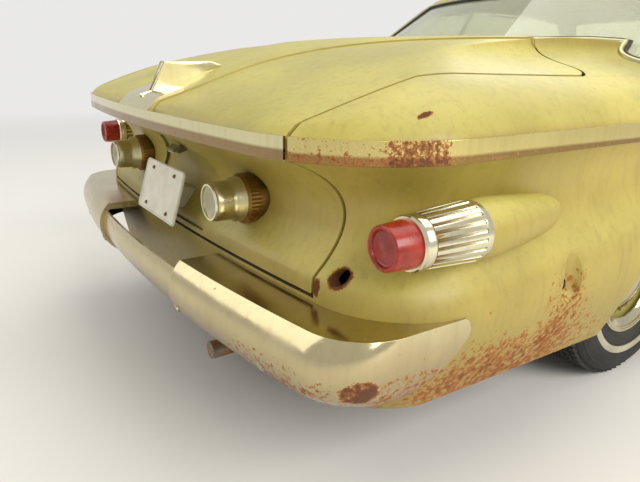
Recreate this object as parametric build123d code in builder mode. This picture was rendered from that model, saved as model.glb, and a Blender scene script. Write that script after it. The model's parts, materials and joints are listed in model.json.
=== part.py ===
"""A full-size two-door hardtop of the early 1960s, standing on its wheels.

The frame: X points forward, Y to the car's left, Z up, and the origin lies on the ground at mid length.
The outside is a stack of closed outlines, one at each level of the body side, with crowned top surfaces.
Each panel is a part of that one skin, so that neighbours line up, and moving panels have a shut gap.
"""

from collections import namedtuple
from math import cos, radians, sin
import os

from build123d import *

os.makedirs("parts", exist_ok=True)

# Overall sizes
LENGTH = 5320.0
REAR_X = -LENGTH / 2
FRONT_X = LENGTH / 2
REAR_AXLE_X = REAR_X + 1440.0
WHEELBASE = 2997.0
FRONT_AXLE_X = REAR_AXLE_X + WHEELBASE

# Wheels and tyres
TYRE_R = 350.0
TYRE_W = 190.0
TREAD_W = 140.0
RIM_R = 180.0
RIM_W = 152.0
RIM_FLANGE = 12.0
RIM_T = 6.0
DISC_Y = 28.0
CAP_R = 128.0
HUB_R = 48.0
STUB_R = 24.0
PIN_FIT = 1.0
SEAT_FIT = 0.3
DRUM_R = 138.0
FRONT_TRACK_HALF = 773.5
REAR_TRACK_HALF = 758.0
AXLE_Z = TYRE_R

# Walls and gaps
SKIN = 25.0
DOOR_INNER_Y = 850.0
ROOF_T = 26.0
GLASS_T = 6.0
GLASS_SET = 4.0
SHUT_GAP = 9.0
GLASS_GAP = 8.0
STRIP_PROUD = 5.0

# Body levels: heights are given at the two reference stations, and widths are half widths
LEVEL_X = 2400.0
Level = namedtuple(
    "Level",
    "z_rear z_front x_rear y_rear y_mid y_front x_front sag_rear sag_front r_rear r_front",
)
SILL = Level(285, 285, REAR_X + 175, 905, 950, 880, FRONT_X - 190, 50, 60, 200, 220)
BULGE = Level(440, 460, REAR_X + 150, 972, 995, 940, FRONT_X - 120, 60, 70, 230, 220)
CREASE = Level(588, 830, REAR_X + 140, 962, 984, 945, FRONT_X - 85, 65, 75, 250, 210)
HOLLOW = Level(722, 854, REAR_X + 205, 902, 958, 938, FRONT_X - 88, 70, 78, 240, 210)
BELT_LOW = Level(843, 880, REAR_X + 52, 944, 965, 940, FRONT_X - 85, 75, 80, 340, 210)
BELT_TOP = Level(892, 925, REAR_X + 52, 944, 965, 940, FRONT_X - 85, 75, 80, 340, 210)
SHOULDER_MID = Level(950, 985, REAR_X + 118, 896, 915, 885, FRONT_X - 150, 75, 80, 310, 190)
SHOULDER_TOP = Level(1012, 1045, REAR_X + 290, 775, 795, 770, FRONT_X - 300, 75, 80, 220, 150)
DECK_TOP = Level(1112, 1112, REAR_X + 560, 600, 640, 560, FRONT_X - 700, 180, 80, 200, 150)
BODY_TOP_Z = 1200.0

# Crown of the deck and bonnet: station and height on the centre line
CROWN_HALF = 1060.0
CROWN_DROP = 46.0
CROWN = (
    (-2790, 868),
    (-2500, 944),
    (-2340, 999),
    (-2170, 1047),
    (-1900, 1094),
    (-1450, 1128),
    (-700, 1090),
    (0, 1062),
    (1000, 1045),
    (1900, 1014),
    (2790, 965),
)

# Greenhouse levels, as above, but flat
GLASS_BASE = Level(980, 980, -1600, 888, 888, 870, 1110, 500, 150, 150, 130)
GLASS_MID = Level(1180, 1180, -1235, 780, 780, 768, 788, 330, 135, 140, 120)
GLASS_TOP = Level(1420, 1420, -850, 612, 612, 600, 400, 160, 110, 120, 100)
ROOF_HALF = 900.0
ROOF_DROP = 62.0
ROOF_CROWN = ((-1750, 1170), (-900, 1352), (-300, 1390), (250, 1374), (1250, 1170))
ROOF_RAIL = 45.0
CABIN_INSET = 60.0

# Pillar lines in side view, each from the belt to the roof
A_FRONT = ((965, 960), (400, 1345))
A_REAR = ((932, 960), (325, 1335))
C_FRONT = ((-1080, 960), (-760, 1335))
C_REAR = ((-1180, 960), (-850, 1335))

# Panel seams
DOOR_REAR_X = -420.0
DOOR_FRONT_X = 880.0
DOOR_BOTTOM_Z = 339.0
POST_INNER_Y = DOOR_INNER_Y - 24.0
POST_DEPTH = 36.0
DOOR_SWING_ROOM = 30.0
LID_HALF = 745.0
LID_FRONT_HALF = 812.0
LID_BOTTOM_Z = 545.0
LID_TAIL_TOP_Z = 850.0
LID_FRONT_X = -1640.0
HOOD_HALF = 775.0
HOOD_REAR_X = 1150.0
HOOD_FRONT_X = 2412.0
NOSE_X = 2420.0
ARCH_R = 385.0
REAR_ARCH_TOP_Z = 676.0

# Floor
FLOOR_Z = 285.0
FLOOR_T = 15.0
BOOT_FLOOR_Z = 508.0
BOOT_FLOOR_T = 12.0
BOOT_FLOOR_TOP = BOOT_FLOOR_Z + BOOT_FLOOR_T
KICK_X = -960.0
FIREWALL_X = 1100.0
TUNNEL_HALF = 150.0
PLATE_T = 12.0
TUNNEL_OUTER = TUNNEL_HALF + PLATE_T
BOOT_REAR_X = REAR_X + 215.0
WHEELHOUSE_R = 400.0
RAIL_Y = 420.0
RAIL_W = 70.0
RAIL_LOW_Z = 215.0
RAIL_REAR_X = KICK_X - 2.0
RAIL_FRONT_X = 1220.0

# Hinges: the axis of each, and how far its eyes and pins reach
DOOR_HINGE_X = DOOR_FRONT_X - 80.0
DOOR_HINGE_Y = 970.0
DOOR_HINGE_ZS = (430.0, 650.0)
HINGE_H = 28.0
HINGE_PIN_R = 7.0
HINGE_EYE_R = 12.0
HINGE_T = 14.0
LID_HINGE_X = LID_FRONT_X - 150.0
LID_HINGE_Y = 250.0
LID_HINGE_Z = 1090.0
LID_SEAT_X = LID_FRONT_X + SHUT_GAP + HINGE_T
LID_SEAT_Z = 1108.0
SHELF_Z = 940.0
SHELF_REAR_X = -1540.0
LID_LEAF_LOW_Z = 905.0
HOOD_HINGE_X = HOOD_REAR_X + 150.0
HOOD_HINGE_Y = 330.0
HOOD_HINGE_Z = 1006.0
LEAF_W = 14.0
LEAF_PIN_R = 5.0
LEAF_EYE_R = 9.0
HOOD_LEAF_LOW_Z = 835.0


def level_plane(level):
    """The plane of a level, which may rise towards the front."""
    return Plane(
        origin=(0, 0, (level.z_rear + level.z_front) / 2),
        x_dir=(2 * LEVEL_X, 0, level.z_front - level.z_rear),
        z_dir=(level.z_rear - level.z_front, 0, 2 * LEVEL_X),
    )


def outline(level, inset):
    """The closed outline of a level: four wide arcs with rounded corners."""
    rear, front = level.x_rear + inset, level.x_front - inset
    y_rear, y_mid, y_front = level.y_rear - inset, level.y_mid - inset, level.y_front - inset
    with BuildSketch(level_plane(level)) as sketch:
        with BuildLine():
            tail = ThreePointArc((rear + level.sag_rear, y_rear), (rear, 0), (rear + level.sag_rear, -y_rear))
            right = ThreePointArc(tail @ 1, ((rear + front) / 2, -y_mid), (front - level.sag_front, -y_front))
            nose = ThreePointArc(right @ 1, (front, 0), (front - level.sag_front, y_front))
            ThreePointArc(nose @ 1, ((rear + front) / 2, y_mid), tail @ 0)
        make_face()
        fillet(sketch.vertices().sort_by(Axis.X)[:2], level.r_rear - inset)
        fillet(sketch.vertices().sort_by(Axis.X)[-2:], level.r_front - inset)
    return sketch.sketch


def stack(levels, inset):
    """The solid between two or more levels."""
    with BuildPart() as solid:
        loft(sections=[outline(level, inset) for level in levels], ruled=len(levels) == 2)
    return solid.part


def crown(stations, half, drop, base, raise_by):
    """A solid under a crowned surface that follows the stations from rear to front."""
    sections = []
    for x, top in stations:
        edge = top + raise_by - drop
        with BuildSketch(Plane(origin=(x, 0, 0), x_dir=(0, 1, 0), z_dir=(1, 0, 0))) as section:
            with BuildLine():
                Polyline((half, edge), (half, base), (-half, base), (-half, edge))
                ThreePointArc((-half, edge), (0, top + raise_by), (half, edge))
            make_face()
        sections.append(section.sketch)
    with BuildPart() as solid:
        loft(sections=sections)
    return solid.part


def body_top(inset):
    """The body above the belt, taken in by inset."""
    with BuildPart() as solid:
        add(stack((BELT_TOP, SHOULDER_MID, SHOULDER_TOP, DECK_TOP), inset))
        add(crown(CROWN, CROWN_HALF, CROWN_DROP, 600, -inset), mode=Mode.INTERSECT)
    return solid.part


def body_solid(inset):
    """The body below the glass, taken in by inset on every side but the bottom."""
    with BuildPart() as solid:
        add(body_top(inset))
        add(stack((SILL, BULGE, CREASE), inset))
        add(stack((CREASE, HOLLOW, BELT_LOW), inset))
        add(stack((BELT_LOW, BELT_TOP), inset))
    return solid.part


def greenhouse(inset):
    """The solid of roof and glass, taken in by inset."""
    with BuildPart() as solid:
        add(stack((GLASS_BASE, GLASS_MID, GLASS_TOP), inset))
        add(crown(ROOF_CROWN, ROOF_HALF, ROOF_DROP, 900, -inset), mode=Mode.INTERSECT)
    return solid.part


def block(x0, x1, y0, y1, z0, z1):
    """A box between two corners."""
    with BuildPart() as solid:
        with Locations(((x0 + x1) / 2, (y0 + y1) / 2, (z0 + z1) / 2)):
            Box(x1 - x0, y1 - y0, z1 - z0)
    return solid.part


def side_prism(points, y0, y1):
    """A side view polygon carried across the car from y0 to y1."""
    with BuildPart() as solid:
        with BuildSketch(Plane.XZ.offset(-y0)):
            with BuildLine():
                Polyline(*points, close=True)
            make_face()
        extrude(amount=y0 - y1)
    return solid.part


def cross_bar(x, z, r, y0, y1):
    """A round bar across the car."""
    with BuildPart() as solid:
        with Locations(Location((x, y0, z), (-90, 0, 0))):
            Cylinder(r, y1 - y0, align=(Align.CENTER, Align.CENTER, Align.MIN))
    return solid.part


def long_bar(start, end, r):
    """A round bar from one point to another."""
    with BuildPart() as solid:
        with BuildLine():
            rod = Line(start, end)
        with BuildSketch(Plane(origin=start, z_dir=rod % 0)):
            Circle(r)
        sweep(path=rod)
    return solid.part


def on_dome(radius, edge, centre):
    """A point half way out on a dome or dish whose edge and centre lie at these places along its axis."""
    rise = centre - edge
    ball = (radius**2 + rise**2) / (2 * rise)
    return radius / 2, centre - ball + (ball / abs(ball)) * (ball**2 - radius**2 / 4) ** 0.5


def lid_plan(grow):
    """The boot lid seen from above, straight-sided at its tail, grown by its shut gap as a cutter."""
    half, front_half = LID_HALF + grow, LID_FRONT_HALF + grow
    middle_half = (half + front_half) / 2 + 8
    front_x = LID_FRONT_X + grow
    with BuildPart() as solid:
        with BuildSketch(Plane.XY.offset(LID_BOTTOM_Z - grow)) as plan:
            with BuildLine():
                Polyline(
                    (-2500, half),
                    (REAR_X - 100, half),
                    (REAR_X - 100, -half),
                    (-2500, -half),
                )
                ThreePointArc((-2500, -half), (-2100, -middle_half), (front_x, -front_half))
                Line((front_x, -front_half), (front_x, front_half))
                ThreePointArc((front_x, front_half), (-2100, middle_half), (-2500, half))
            make_face()
            fillet(plan.vertices().sort_by(Axis.X)[-2:], 60 + grow)
        extrude(amount=700)
        for y in (-half - 200, half):
            add(block(REAR_X, LID_FRONT_X, y, y + 200, 200, LID_TAIL_TOP_Z), mode=Mode.SUBTRACT)
    return solid.part


def arch(x, top_z, y0, y1):
    """The wheel opening: a round arc down to the sill."""
    foot_z = AXLE_Z - 80
    with BuildPart() as solid:
        with BuildSketch(Plane.XZ.offset(-y0)):
            with BuildLine():
                ThreePointArc((x - ARCH_R, foot_z), (x, top_z), (x + ARCH_R, foot_z))
                Polyline((x + ARCH_R, foot_z), (x + ARCH_R, 200), (x - ARCH_R, 200), (x - ARCH_R, foot_z))
            make_face()
        extrude(amount=y0 - y1)
    return solid.part


def hinge_leaf(x, y, z, low_z, end_x, end_z):
    """A fixed swan-neck leaf: down from the pin, along under the lid's sweep, and up to its seat."""
    toward = 1 if end_x > x else -1
    half = HINGE_T / 2
    path = (
        (x - half * toward, z),
        (x - half * toward, low_z),
        (end_x + half * toward, low_z),
        (end_x + half * toward, end_z),
        (end_x - half * toward, end_z),
        (end_x - half * toward, low_z + HINGE_T),
        (x + half * toward, low_z + HINGE_T),
        (x + half * toward, z),
    )
    with BuildPart() as leaf:
        add(side_prism(path, y - LEAF_W / 2, y + LEAF_W / 2))
        add(cross_bar(x, z, LEAF_EYE_R, y - LEAF_W / 2, y + LEAF_W / 2))
        add(cross_bar(x, z, LEAF_PIN_R + SEAT_FIT, y - LEAF_W, y + LEAF_W), mode=Mode.SUBTRACT)
    return leaf.part


def leaf_pocket(x, y, z, forward):
    """The pocket in a lid for a leaf's eye and for the sweep of its neck."""
    wide = LEAF_W / 2 + 5
    far = x + 52 * forward
    near = x - 16 * forward
    with BuildPart() as pocket:
        add(block(min(near, far), max(near, far), y - wide, y + wide, z - 60, z + LEAF_EYE_R + 2))
        add(cross_bar(x, z, LEAF_PIN_R, y - wide - 1, y + wide + 1), mode=Mode.SUBTRACT)
    return pocket.part


def door_hinge(z):
    """A fixed hinge arm from the door post round to the eye on the door's pin."""
    low, high = z - HINGE_H / 2, z + HINGE_H / 2
    rear, front = DOOR_HINGE_X - HINGE_T / 2, DOOR_HINGE_X + HINGE_T / 2
    with BuildPart() as arm_solid:
        add(block(rear, front, POST_INNER_Y, DOOR_HINGE_Y, low, high))
        add(block(rear, DOOR_FRONT_X + SHUT_GAP, POST_INNER_Y, POST_INNER_Y + 12, low, high))
        with Locations((DOOR_HINGE_X, DOOR_HINGE_Y, z)):
            Cylinder(HINGE_EYE_R, HINGE_H)
            Cylinder(HINGE_PIN_R + SEAT_FIT, 2 * HINGE_H, mode=Mode.SUBTRACT)
    return arm_solid.part


# Skin of the body and of the greenhouse
outer = body_solid(0)
inner = body_solid(SKIN)
house = greenhouse(0)
house_inner = greenhouse(ROOF_T)
pane_outer = greenhouse(GLASS_SET)
pane_inner = greenhouse(GLASS_SET + GLASS_T)
lid_zone = lid_plan(0)
lid_cutter = lid_plan(SHUT_GAP)
hood_zone = block(HOOD_REAR_X, HOOD_FRONT_X, -HOOD_HALF, HOOD_HALF, 800, 1200)
hood_cutter = block(
    HOOD_REAR_X - SHUT_GAP,
    HOOD_FRONT_X + SHUT_GAP - 1,
    -HOOD_HALF - SHUT_GAP,
    HOOD_HALF + SHUT_GAP,
    800,
    1200,
)
with BuildPart() as cabin_hole:
    with BuildSketch(Plane.XY.offset(900)):
        add(outline(GLASS_BASE._replace(z_rear=900, z_front=900), CABIN_INSET))
    extrude(amount=GLASS_BASE.z_rear - 900)
    add(stack((GLASS_BASE, GLASS_MID, GLASS_TOP), CABIN_INSET))
with BuildPart() as shell:
    add(outer)
    add(inner, mode=Mode.SUBTRACT)
    add(cabin_hole.part, mode=Mode.SUBTRACT)

# Quarter panels, from the door to the tail
QUARTER_FRONT_X = DOOR_REAR_X - SHUT_GAP
with BuildPart() as quarter_skin:
    add(shell.part)
    add(block(REAR_X - 50, QUARTER_FRONT_X, 0, 1100, 200, BODY_TOP_Z), mode=Mode.INTERSECT)
    add(block(REAR_X - 50, REAR_X + 700, 0, LID_HALF + SHUT_GAP, 200, LID_BOTTOM_Z), mode=Mode.SUBTRACT)
    add(lid_cutter, mode=Mode.SUBTRACT)
    add(
        block(LID_FRONT_X - 200, C_REAR[0][0], 0, LID_FRONT_HALF + SHUT_GAP, 900, BODY_TOP_Z),
        mode=Mode.SUBTRACT,
    )
    add(arch(REAR_AXLE_X, REAR_ARCH_TOP_Z, 800, 1100), mode=Mode.SUBTRACT)
with BuildPart() as quarter_post:
    add(outer)
    add(
        block(QUARTER_FRONT_X - 330, QUARTER_FRONT_X, DOOR_INNER_Y, 1100, FLOOR_Z, BODY_TOP_Z),
        mode=Mode.INTERSECT,
    )
    add(cabin_hole.part, mode=Mode.SUBTRACT)
    add(arch(REAR_AXLE_X, REAR_ARCH_TOP_Z, 800, 1100), mode=Mode.SUBTRACT)
with BuildPart() as quarter_left:
    add(quarter_skin.part)
    add(quarter_post.part)

# A vertical crease dent behind the right wheel opening, and a rusted hole beside the lid
DENT_X = -1885.0
DENT_Z = 575.0
with BuildPart() as dent:
    with Locations(Location((DENT_X, -1018, DENT_Z), (8, 0, 4))):
        Cylinder(42, 210)
    fillet(dent.edges().filter_by(GeomType.CIRCLE), 40)
RUST_HOLE_Y = -807.0
RUST_HOLE_Z = 594.0
RUST_HOLE_R = 18.0
with BuildPart() as quarter_right:
    add(mirror(quarter_left.part, about=Plane.XZ))
    add(dent.part, mode=Mode.SUBTRACT)
    with Locations(Location((-2450, RUST_HOLE_Y, RUST_HOLE_Z), (0, 90, 25))):
        Cylinder(RUST_HOLE_R, 300, mode=Mode.SUBTRACT)

# Lower rear panel under the lid, and the panel between lid and rear window
with BuildPart() as rear_lower_panel:
    add(shell.part)
    add(
        block(REAR_X, -2300, -LID_HALF - SHUT_GAP, LID_HALF + SHUT_GAP, 200, LID_BOTTOM_Z - SHUT_GAP),
        mode=Mode.INTERSECT,
    )
with BuildPart() as lid_leaves:
    for side in (-1, 1):
        leaf_y = side * LID_HINGE_Y
        add(hinge_leaf(LID_HINGE_X, leaf_y, LID_HINGE_Z, LID_LEAF_LOW_Z, LID_SEAT_X, LID_SEAT_Z))
with BuildPart() as upper_back_panel:
    add(shell.part)
    add(
        block(
            LID_FRONT_X - 200,
            C_REAR[0][0],
            -LID_FRONT_HALF - SHUT_GAP,
            LID_FRONT_HALF + SHUT_GAP,
            900,
            BODY_TOP_Z,
        ),
        mode=Mode.INTERSECT,
    )
    add(lid_cutter, mode=Mode.SUBTRACT)
    add(lid_leaves.part)

# Boot lid with its raised centre spine and the arched recess for the plate
SPINE_RISE = 5.0
SPINE_HALF = 147.0
RECESS_DEPTH = 11.0
RECESS_HALF = 235.0
RECESS_TOP_Z = 806.0
with BuildPart() as spine:
    with BuildSketch(Plane.XY.offset(860)):
        with BuildLine():
            Polyline((-2280, SPINE_HALF), (REAR_X, SPINE_HALF), (REAR_X, -SPINE_HALF), (-2280, -SPINE_HALF))
            ThreePointArc((-2280, -SPINE_HALF), (-1950, -300), (-1600, -700))
            Line((-1600, -700), (-1600, 700))
            ThreePointArc((-1600, 700), (-1950, 300), (-2280, SPINE_HALF))
        make_face()
    extrude(amount=300)
    add(body_top(-SPINE_RISE), mode=Mode.INTERSECT)
with BuildPart() as recess:
    with BuildSketch(Plane.YZ.offset(REAR_X - 20)):
        with BuildLine():
            Polyline((RECESS_HALF, 680), (RECESS_HALF, 560), (-RECESS_HALF, 560), (-RECESS_HALF, 680))
            ThreePointArc((-RECESS_HALF, 680), (0, RECESS_TOP_Z), (RECESS_HALF, 680))
        make_face()
    extrude(amount=400)
    add(outer.moved(Location((RECESS_DEPTH, 0, 0))), mode=Mode.SUBTRACT)
with BuildPart() as trunk_lid:
    add(outer)
    add(spine.part)
    add(inner, mode=Mode.SUBTRACT)
    add(lid_zone, mode=Mode.INTERSECT)
    add(recess.part, mode=Mode.SUBTRACT)
    for side in (-1, 1):
        add(leaf_pocket(LID_HINGE_X, side * LID_HINGE_Y, LID_HINGE_Z, 1), mode=Mode.SUBTRACT)

# Bonnet, front wings, cowl and nose
with BuildPart() as hood:
    add(shell.part)
    add(hood_zone, mode=Mode.INTERSECT)
    for side in (-1, 1):
        add(leaf_pocket(HOOD_HINGE_X, side * HOOD_HINGE_Y, HOOD_HINGE_Z, -1), mode=Mode.SUBTRACT)
FENDER_REAR_X = DOOR_FRONT_X + SHUT_GAP
FENDER_Y = HOOD_HALF + SHUT_GAP
with BuildPart() as scuttle:
    add(shell.part)
    add(block(650, FENDER_REAR_X, 0, DOOR_INNER_Y - DOOR_SWING_ROOM, 800, 1100), mode=Mode.INTERSECT)
with BuildPart() as door_post:
    add(outer)
    add(
        block(FENDER_REAR_X, FENDER_REAR_X + POST_DEPTH, POST_INNER_Y, 1100, FLOOR_Z, 1100),
        mode=Mode.INTERSECT,
    )
    add(block(KICK_X, FIREWALL_X, 0, DOOR_INNER_Y, FLOOR_Z, FLOOR_Z + FLOOR_T), mode=Mode.SUBTRACT)
with BuildPart() as fender_left:
    add(shell.part)
    add(block(FENDER_REAR_X, NOSE_X, 0, 1100, 200, 1100), mode=Mode.INTERSECT)
    add(block(0, FRONT_X, 0, FENDER_Y, 800, 1100), mode=Mode.SUBTRACT)
    add(arch(FRONT_AXLE_X, AXLE_Z + ARCH_R, 800, 1100), mode=Mode.SUBTRACT)
    add(scuttle.part)
    add(door_post.part)
    for hinge_z in DOOR_HINGE_ZS:
        add(door_hinge(hinge_z))
with BuildPart() as fender_right:
    add(mirror(fender_left.part, about=Plane.XZ))
with BuildPart() as cowl_top:
    add(shell.part)
    add(block(FENDER_REAR_X, HOOD_REAR_X - SHUT_GAP, -FENDER_Y, FENDER_Y, 800, 1100), mode=Mode.INTERSECT)
with BuildPart() as firewall:
    add(inner)
    add(block(FIREWALL_X, FIREWALL_X + PLATE_T, -1000, 1000, FLOOR_Z + FLOOR_T, 1100), mode=Mode.INTERSECT)
with BuildPart() as cowl:
    add(cowl_top.part)
    add(firewall.part)
    for side in (-1, 1):
        add(
            hinge_leaf(
                HOOD_HINGE_X,
                side * HOOD_HINGE_Y,
                HOOD_HINGE_Z,
                HOOD_LEAF_LOW_Z,
                FIREWALL_X + HINGE_T / 2,
                HOOD_LEAF_LOW_Z + 1.5 * HINGE_T,
            )
        )
    add(block(FIREWALL_X - 20, FIREWALL_X + 40, -TUNNEL_HALF, TUNNEL_HALF, 0, 548), mode=Mode.SUBTRACT)
GRILLE_HALF = 850.0
GRILLE_BOTTOM_Z = 572.0
GRILLE_TOP_Z = 806.0
with BuildPart() as front_panel:
    add(shell.part)
    add(block(NOSE_X, FRONT_X, -1100, 1100, 200, 1100), mode=Mode.INTERSECT)
    with BuildSketch(Plane.YZ.offset(NOSE_X - 100)):
        with Locations((0, (GRILLE_BOTTOM_Z + GRILLE_TOP_Z) / 2)):
            SlotOverall(2 * GRILLE_HALF, GRILLE_TOP_Z - GRILLE_BOTTOM_Z)
    extrude(amount=400, mode=Mode.SUBTRACT)

# Doors, each as thick as the real one, with the glass standing in its top
with BuildPart() as door_left:
    add(outer)
    add(
        block(DOOR_REAR_X, DOOR_FRONT_X, DOOR_INNER_Y, 1100, DOOR_BOTTOM_Z, 1100),
        mode=Mode.INTERSECT,
    )
    add(cabin_hole.part, mode=Mode.SUBTRACT)
    for hinge_z in DOOR_HINGE_ZS:
        add(
            block(
                DOOR_HINGE_X - HINGE_EYE_R - 4,
                DOOR_FRONT_X + 1,
                DOOR_INNER_Y - 1,
                DOOR_HINGE_Y + HINGE_EYE_R + 1,
                hinge_z - HINGE_H / 2 - 5,
                hinge_z + HINGE_H / 2 + 5,
            ),
            mode=Mode.SUBTRACT,
        )
        with Locations((DOOR_HINGE_X, DOOR_HINGE_Y, hinge_z)):
            Cylinder(HINGE_PIN_R, HINGE_H + 12)
with BuildPart() as door_right:
    add(mirror(door_left.part, about=Plane.XZ))


def pillar_x(line, z):
    """The station of a pillar line at a height."""
    (x0, z0), (x1, z1) = line
    return x0 + (x1 - x0) * (z - z0) / (z1 - z0)


OPENING_LOW = 900.0
OPENING_HIGH = 1500.0


def opening(rear_line, front_line, rear_gap, front_gap, top_gap):
    """The space of a side window between two upright lines, below the roof rail."""
    with BuildPart() as solid:
        points = (
            (pillar_x(rear_line, OPENING_LOW) + rear_gap, OPENING_LOW),
            (pillar_x(front_line, OPENING_LOW) - front_gap, OPENING_LOW),
            (pillar_x(front_line, OPENING_HIGH) - front_gap, OPENING_HIGH),
            (pillar_x(rear_line, OPENING_HIGH) + rear_gap, OPENING_HIGH),
        )
        add(side_prism(points, -1100, 1100))
        add(crown(ROOF_CROWN, ROOF_HALF, ROOF_DROP, 800, -ROOF_RAIL - top_gap), mode=Mode.INTERSECT)
    return solid.part


DOOR_LINE = ((DOOR_REAR_X, 960), (DOOR_REAR_X, 1335))
FAR_FRONT = ((1500, 960), (1500, 1335))
FAR_REAR = ((-2000, 960), (-2000, 1335))
side_opening = opening(C_FRONT, A_REAR, 0, 0, 0)
front_opening = opening(A_FRONT, FAR_FRONT, 0, 0, -12)
rear_opening = opening(FAR_REAR, C_REAR, 0, 0, -8)


def glass(zone):
    """A curved pane in a window space, standing on the body."""
    with BuildPart() as pane:
        add(pane_outer)
        add(pane_inner, mode=Mode.SUBTRACT)
        add(zone, mode=Mode.INTERSECT)
        add(outer, mode=Mode.SUBTRACT)
    return pane.part


with BuildPart() as windshield:
    add(glass(front_opening))
with BuildPart() as rear_window:
    add(glass(rear_opening))
with BuildPart() as quarter_glass:
    add(glass(opening(C_FRONT, DOOR_LINE, 0, 0, 0)))
    add(block(-2000, QUARTER_FRONT_X, -1100, 1100, 900, 1500), mode=Mode.INTERSECT)
with BuildPart() as door_glass_left:
    add(glass(opening(DOOR_LINE, A_REAR, 0, 2 * GLASS_GAP, GLASS_GAP)))
    add(block(-1000, DOOR_FRONT_X, 0, 1100, 900, 1500), mode=Mode.INTERSECT)
with BuildPart() as door_glass_right:
    add(mirror(door_glass_left.part, about=Plane.XZ))
with BuildPart() as roof:
    add(house)
    add(house_inner, mode=Mode.SUBTRACT)
    add(side_opening, mode=Mode.SUBTRACT)
    add(front_opening, mode=Mode.SUBTRACT)
    add(rear_opening, mode=Mode.SUBTRACT)
    add(outer, mode=Mode.SUBTRACT)

# Bright strips at the belt: one round the lid's edge, one along each quarter and wing
with BuildPart() as belt:
    add(stack((BELT_LOW, BELT_TOP), -STRIP_PROUD))
    add(outer, mode=Mode.SUBTRACT)
with BuildPart() as side_strips:
    add(belt.part)
    add(block(REAR_X - 50, FRONT_X, -LID_HALF - SHUT_GAP, LID_HALF + SHUT_GAP, 800, 1000), mode=Mode.SUBTRACT)
    add(
        block(DOOR_REAR_X - SHUT_GAP, DOOR_FRONT_X + SHUT_GAP, -1100, 1100, 800, 1000),
        mode=Mode.SUBTRACT,
    )
    add(block(NOSE_X, FRONT_X + 50, -1100, 1100, 800, 1000), mode=Mode.SUBTRACT)
with BuildPart() as door_strip_left:
    add(belt.part)
    add(block(DOOR_REAR_X, DOOR_FRONT_X, 0, 1100, 800, 1000), mode=Mode.INTERSECT)
with BuildPart() as door_strip_right:
    add(mirror(door_strip_left.part, about=Plane.XZ))

# Trim of the lid: edge strip, the cap over the spine's end and the upright ornament
CAP_HALF = SPINE_HALF - 12
ORNAMENT_T = 16.0
with BuildPart() as spine_cap:
    add(body_top(-SPINE_RISE - 7))
    add(block(REAR_X - 20, REAR_X + 150, -CAP_HALF, CAP_HALF, 850, 1000), mode=Mode.INTERSECT)
    add(outer, mode=Mode.SUBTRACT)
    add(spine.part, mode=Mode.SUBTRACT)
with BuildPart() as ornament:
    add(
        side_prism(
            (
                (REAR_X + 100, 900),
                (REAR_X + 100, 925),
                (REAR_X + 146, 1018),
                (REAR_X + 290, 1022),
                (REAR_X + 325, 1012),
                (REAR_X + 325, 940),
            ),
            -ORNAMENT_T / 2,
            ORNAMENT_T / 2,
        )
    )
    chamfer(ornament.edges().filter_by(Plane.XZ).sort_by(Axis.Z)[-6:], 4)
    add(outer, mode=Mode.SUBTRACT)
    add(spine.part, mode=Mode.SUBTRACT)
    add(spine_cap.part, mode=Mode.SUBTRACT)
with BuildPart() as lid_trim:
    add(belt.part)
    add(block(REAR_X - 50, -2300, -LID_HALF, LID_HALF, 800, 1000), mode=Mode.INTERSECT)
    add(spine_cap.part)
    add(ornament.part)

# Reversing lamps: turned bodies on the lid, cut to its hollow face
LAMP_Y = 417.0
LAMP_Z = 690.0
LAMP_BASE_R = 65.0
LAMP_LENS_R = 43.0
with BuildPart() as lamp:
    with BuildSketch(Plane.XY):
        with BuildLine():
            Polyline(
                (-2430, 0),
                (-2430, LAMP_BASE_R),
                (-2484, LAMP_BASE_R),
                (-2490, LAMP_BASE_R - 8),
                (-2508, LAMP_BASE_R - 8),
                (-2514, LAMP_BASE_R - 14),
                (-2560, LAMP_LENS_R + 6),
                (-2567, LAMP_LENS_R + 2),
                (-2567, LAMP_LENS_R - 5),
            )
            half_r, half_x = on_dome(LAMP_LENS_R - 5, -2567, -2552)
            ThreePointArc((-2567, LAMP_LENS_R - 5), (half_x, half_r), (-2552, 0))
            Line((-2552, 0), (-2430, 0))
        make_face()
    revolve(axis=Axis.X)
with BuildPart() as reverse_lamps:
    for side in (-1, 1):
        add(lamp.part.moved(Location((0, side * LAMP_Y, LAMP_Z))))
    add(outer, mode=Mode.SUBTRACT)

# Blank plate on its bracket in the recess
PLATE_X = -2547.0
PLATE_Z = 637.0
PLATE_TILT = radians(17.0)
PLATE_PLANE = Plane(
    origin=(PLATE_X, 0, PLATE_Z),
    x_dir=(0, -1, 0),
    z_dir=(-cos(PLATE_TILT), 0, sin(PLATE_TILT)),
)
with BuildPart() as licence_plate:
    with BuildSketch(PLATE_PLANE):
        RectangleRounded(315, 162, 10)
    extrude(amount=5)
    with BuildSketch(PLATE_PLANE):
        RectangleRounded(110, 70, 8)
    extrude(amount=-120)
    add(outer.moved(Location((RECESS_DEPTH, 0, 0))), mode=Mode.SUBTRACT)

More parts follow.
